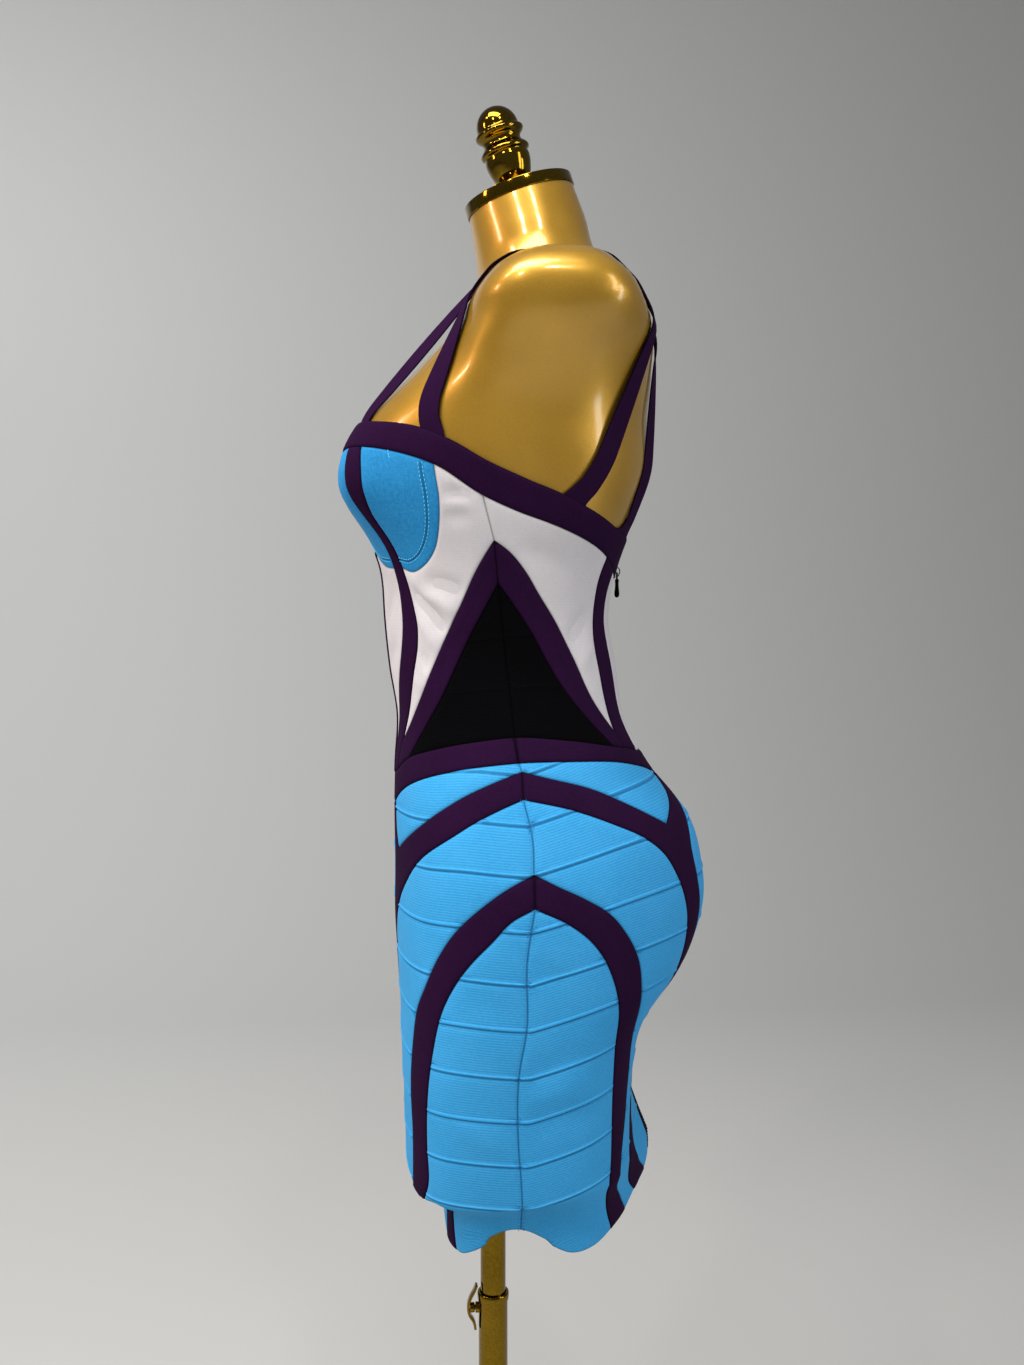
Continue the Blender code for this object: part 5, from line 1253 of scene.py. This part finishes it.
slider = placed(joined(bridge, slider), slider_at, math.atan2(slider_out.z, slider_out.y))
finished(slider, "zip_slider_cast", GUNMETAL, "form", "zip_slider", 40)

RING_RADIUS = 2.1
PULL_OUT = 3.52        # the ring's axle lies this far outside the slider's foot
PULL_TURN = 38         # the pull hangs a little turned on its ring
bpy.ops.object.select_all(action="DESELECT")
bpy.ops.mesh.primitive_torus_add(major_segments=40, minor_segments=12, major_radius=RING_RADIUS * MM,
                                 minor_radius=0.5 * MM, rotation=(RIGHT_ANGLE, 0, 0),
                                 location=(0, 0, -RING_RADIUS * MM))
ring = bpy.context.active_object
apply_place()
edit_below(ring, -RING_RADIUS * MM)
bpy.ops.transform.translate(value=(0, 0, -1.5 * MM))
bpy.ops.object.mode_set(mode="OBJECT")
half_drop = curved([(0.9, -5.2), (2.0, -6.6), (1.7, -9.0), (1.9, -13.0), (2.5, -17.0), (2.3, -19.6),
                    (1.3, -21.0), (0.0, -21.3)], 0.8)
drop = drawn([(x, 0.0, z) for x, z in half_drop + [(-x, z) for x, z in half_drop[-2::-1]]])
bpy.ops.mesh.select_all(action="SELECT")
bpy.ops.mesh.edge_face_add()
bpy.ops.object.mode_set(mode="OBJECT")
thicken(drop, 1.3, 0.35, 3)
apply_place()
drop.rotation_euler = (0, 0, math.radians(PULL_TURN))
apply_place()
drop = joined(ring, drop)
drop.location += (slider_at + slider_out * PULL_OUT) * MM
finished(drop, "pull_tab_cast", GUNMETAL, "pull", "pull_tab", 40)


# Camera at the photograph's place: level turn and downward tilt, with the pole a little left of the middle
YAW, PITCH = math.radians(5.0), math.radians(3.6)
AWAY, EYE_HEIGHT, FOCAL_PIXELS, POLE_COLUMN = 1.1, 1.165, 1300.0, 492.5
WIDE_PIXELS, HIGH_PIXELS, SENSOR = 1024, 1365, 36.0
level_ahead = Vector((-math.cos(YAW), math.sin(YAW), 0))
right = Vector((math.sin(YAW), math.cos(YAW), 0))
ahead = level_ahead * math.cos(PITCH) - Vector((0, 0, 1)) * math.sin(PITCH)
camera = bpy.data.objects.new("camera", bpy.data.cameras.new("camera"))
camera.data.sensor_fit = "AUTO"
camera.data.sensor_width = SENSOR
camera.data.lens = SENSOR * FOCAL_PIXELS / HIGH_PIXELS
turn = Matrix((right, right.cross(ahead), -ahead)).transposed().to_4x4()
turn.translation = (-level_ahead * AWAY + right * (WIDE_PIXELS / 2 - POLE_COLUMN) * AWAY / FOCAL_PIXELS
                    + Vector((0, 0, EYE_HEIGHT)))
camera.matrix_world = turn
bpy.context.collection.objects.link(camera)
bpy.context.scene.camera = camera


# Lamps, with places and sizes in metres; one that isn't mirrored doesn't show in the shiny pieces
def lamp(name, place, aim, size, watts, colour="FFFFFF", mirrored=True):
    data = bpy.data.lights.new(name, "AREA")
    data.shape = "RECTANGLE"
    data.size, data.size_y = size
    data.energy = watts
    data.color = tone(colour)[:3]
    obj = bpy.data.objects.new(name, data)
    obj.location = place
    obj.rotation_euler = (Vector(aim) - Vector(place)).to_track_quat("-Z", "Y").to_euler()
    obj.visible_glossy = mirrored
    bpy.context.collection.objects.link(obj)


lamp("front_softbox", (1.5, -2.1, 2.4), (0, 0, 1.1), (1.2, 1.2), 47, "FFFBF4", mirrored=False)
lamp("top_softbox", (0.7, -0.5, 3.0), (0, 0, 1.2), (1.5, 0.7), 42)
lamp("ceiling_lamp_front", (1.5, -0.9, 2.7), (0, 0, 1.3), (0.16, 0.16), 9, "FFF6EA")
lamp("ceiling_lamp_side", (1.7, 0.2, 2.9), (0, 0, 1.3), (0.16, 0.16), 7, "FFF6EA")
lamp("warm_lamp_high", (0.45, -1.6, 2.9), (0, 0, 1.35), (0.22, 0.22), 7, "FFD6BC")
lamp("warm_lamp_low", (0.25, -1.8, 1.95), (0, 0, 1.3), (0.16, 0.34), 5, "FFD6C4")
lamp("tall_strip", (1.25, 1.75, 1.9), (0, 0, 1.3), (0.4, 1.4), 11, "FFF6EA")
lamp("low_fill", (2.4, 0.6, 0.7), (0, 0, 0.9), (1.6, 1.2), 5, "F2F6FF", mirrored=False)
lamp("back_strip", (0.9, 2.3, 1.2), (0, 0, 0.9), (0.35, 1.6), 12, "EEF4FF")
lamp("backdrop_wash", (-1.6, -2.6, 3.0), (-4.4, 0.2, 1.1), (2.4, 1.2), 74, mirrored=False)

# A pale floor that sweeps up behind into a wall
WALL_X, SWEEP, HALF_WIDE = -4400, 1900, 6500
profile = [(4000, 0), (WALL_X + SWEEP, 0)]
profile += [(WALL_X + SWEEP * (1 - math.sin(a)), SWEEP * (1 - math.cos(a)))
            for a in np.linspace(0, math.pi / 2, 25)[1:]]
profile.append((WALL_X, 4000))
wall_points = [(x, y, z) for x, z in profile for y in (-HALF_WIDE, HALF_WIDE)]
wall_faces = [(2 * i, 2 * i + 2, 2 * i + 3, 2 * i + 1) for i in range(len(profile) - 1)]
backdrop = new_mesh("backdrop", wall_points, wall_faces, sharp=CREASE_ANGLE)
paper, _, _ = shader_of("pale backdrop paper", Base_Color=tone("C2C3C2"), Roughness=0.95,
                        Specular_IOR_Level=0.1)
backdrop.data.materials.append(paper)

world = bpy.data.worlds.new("soft room")
world.use_nodes = True
world.node_tree.nodes["Background"].inputs["Color"].default_value = tone("DCE0E4")
world.node_tree.nodes["Background"].inputs["Strength"].default_value = 0.2
bpy.context.scene.world = world
bpy.context.scene.view_settings.view_transform = "Standard"
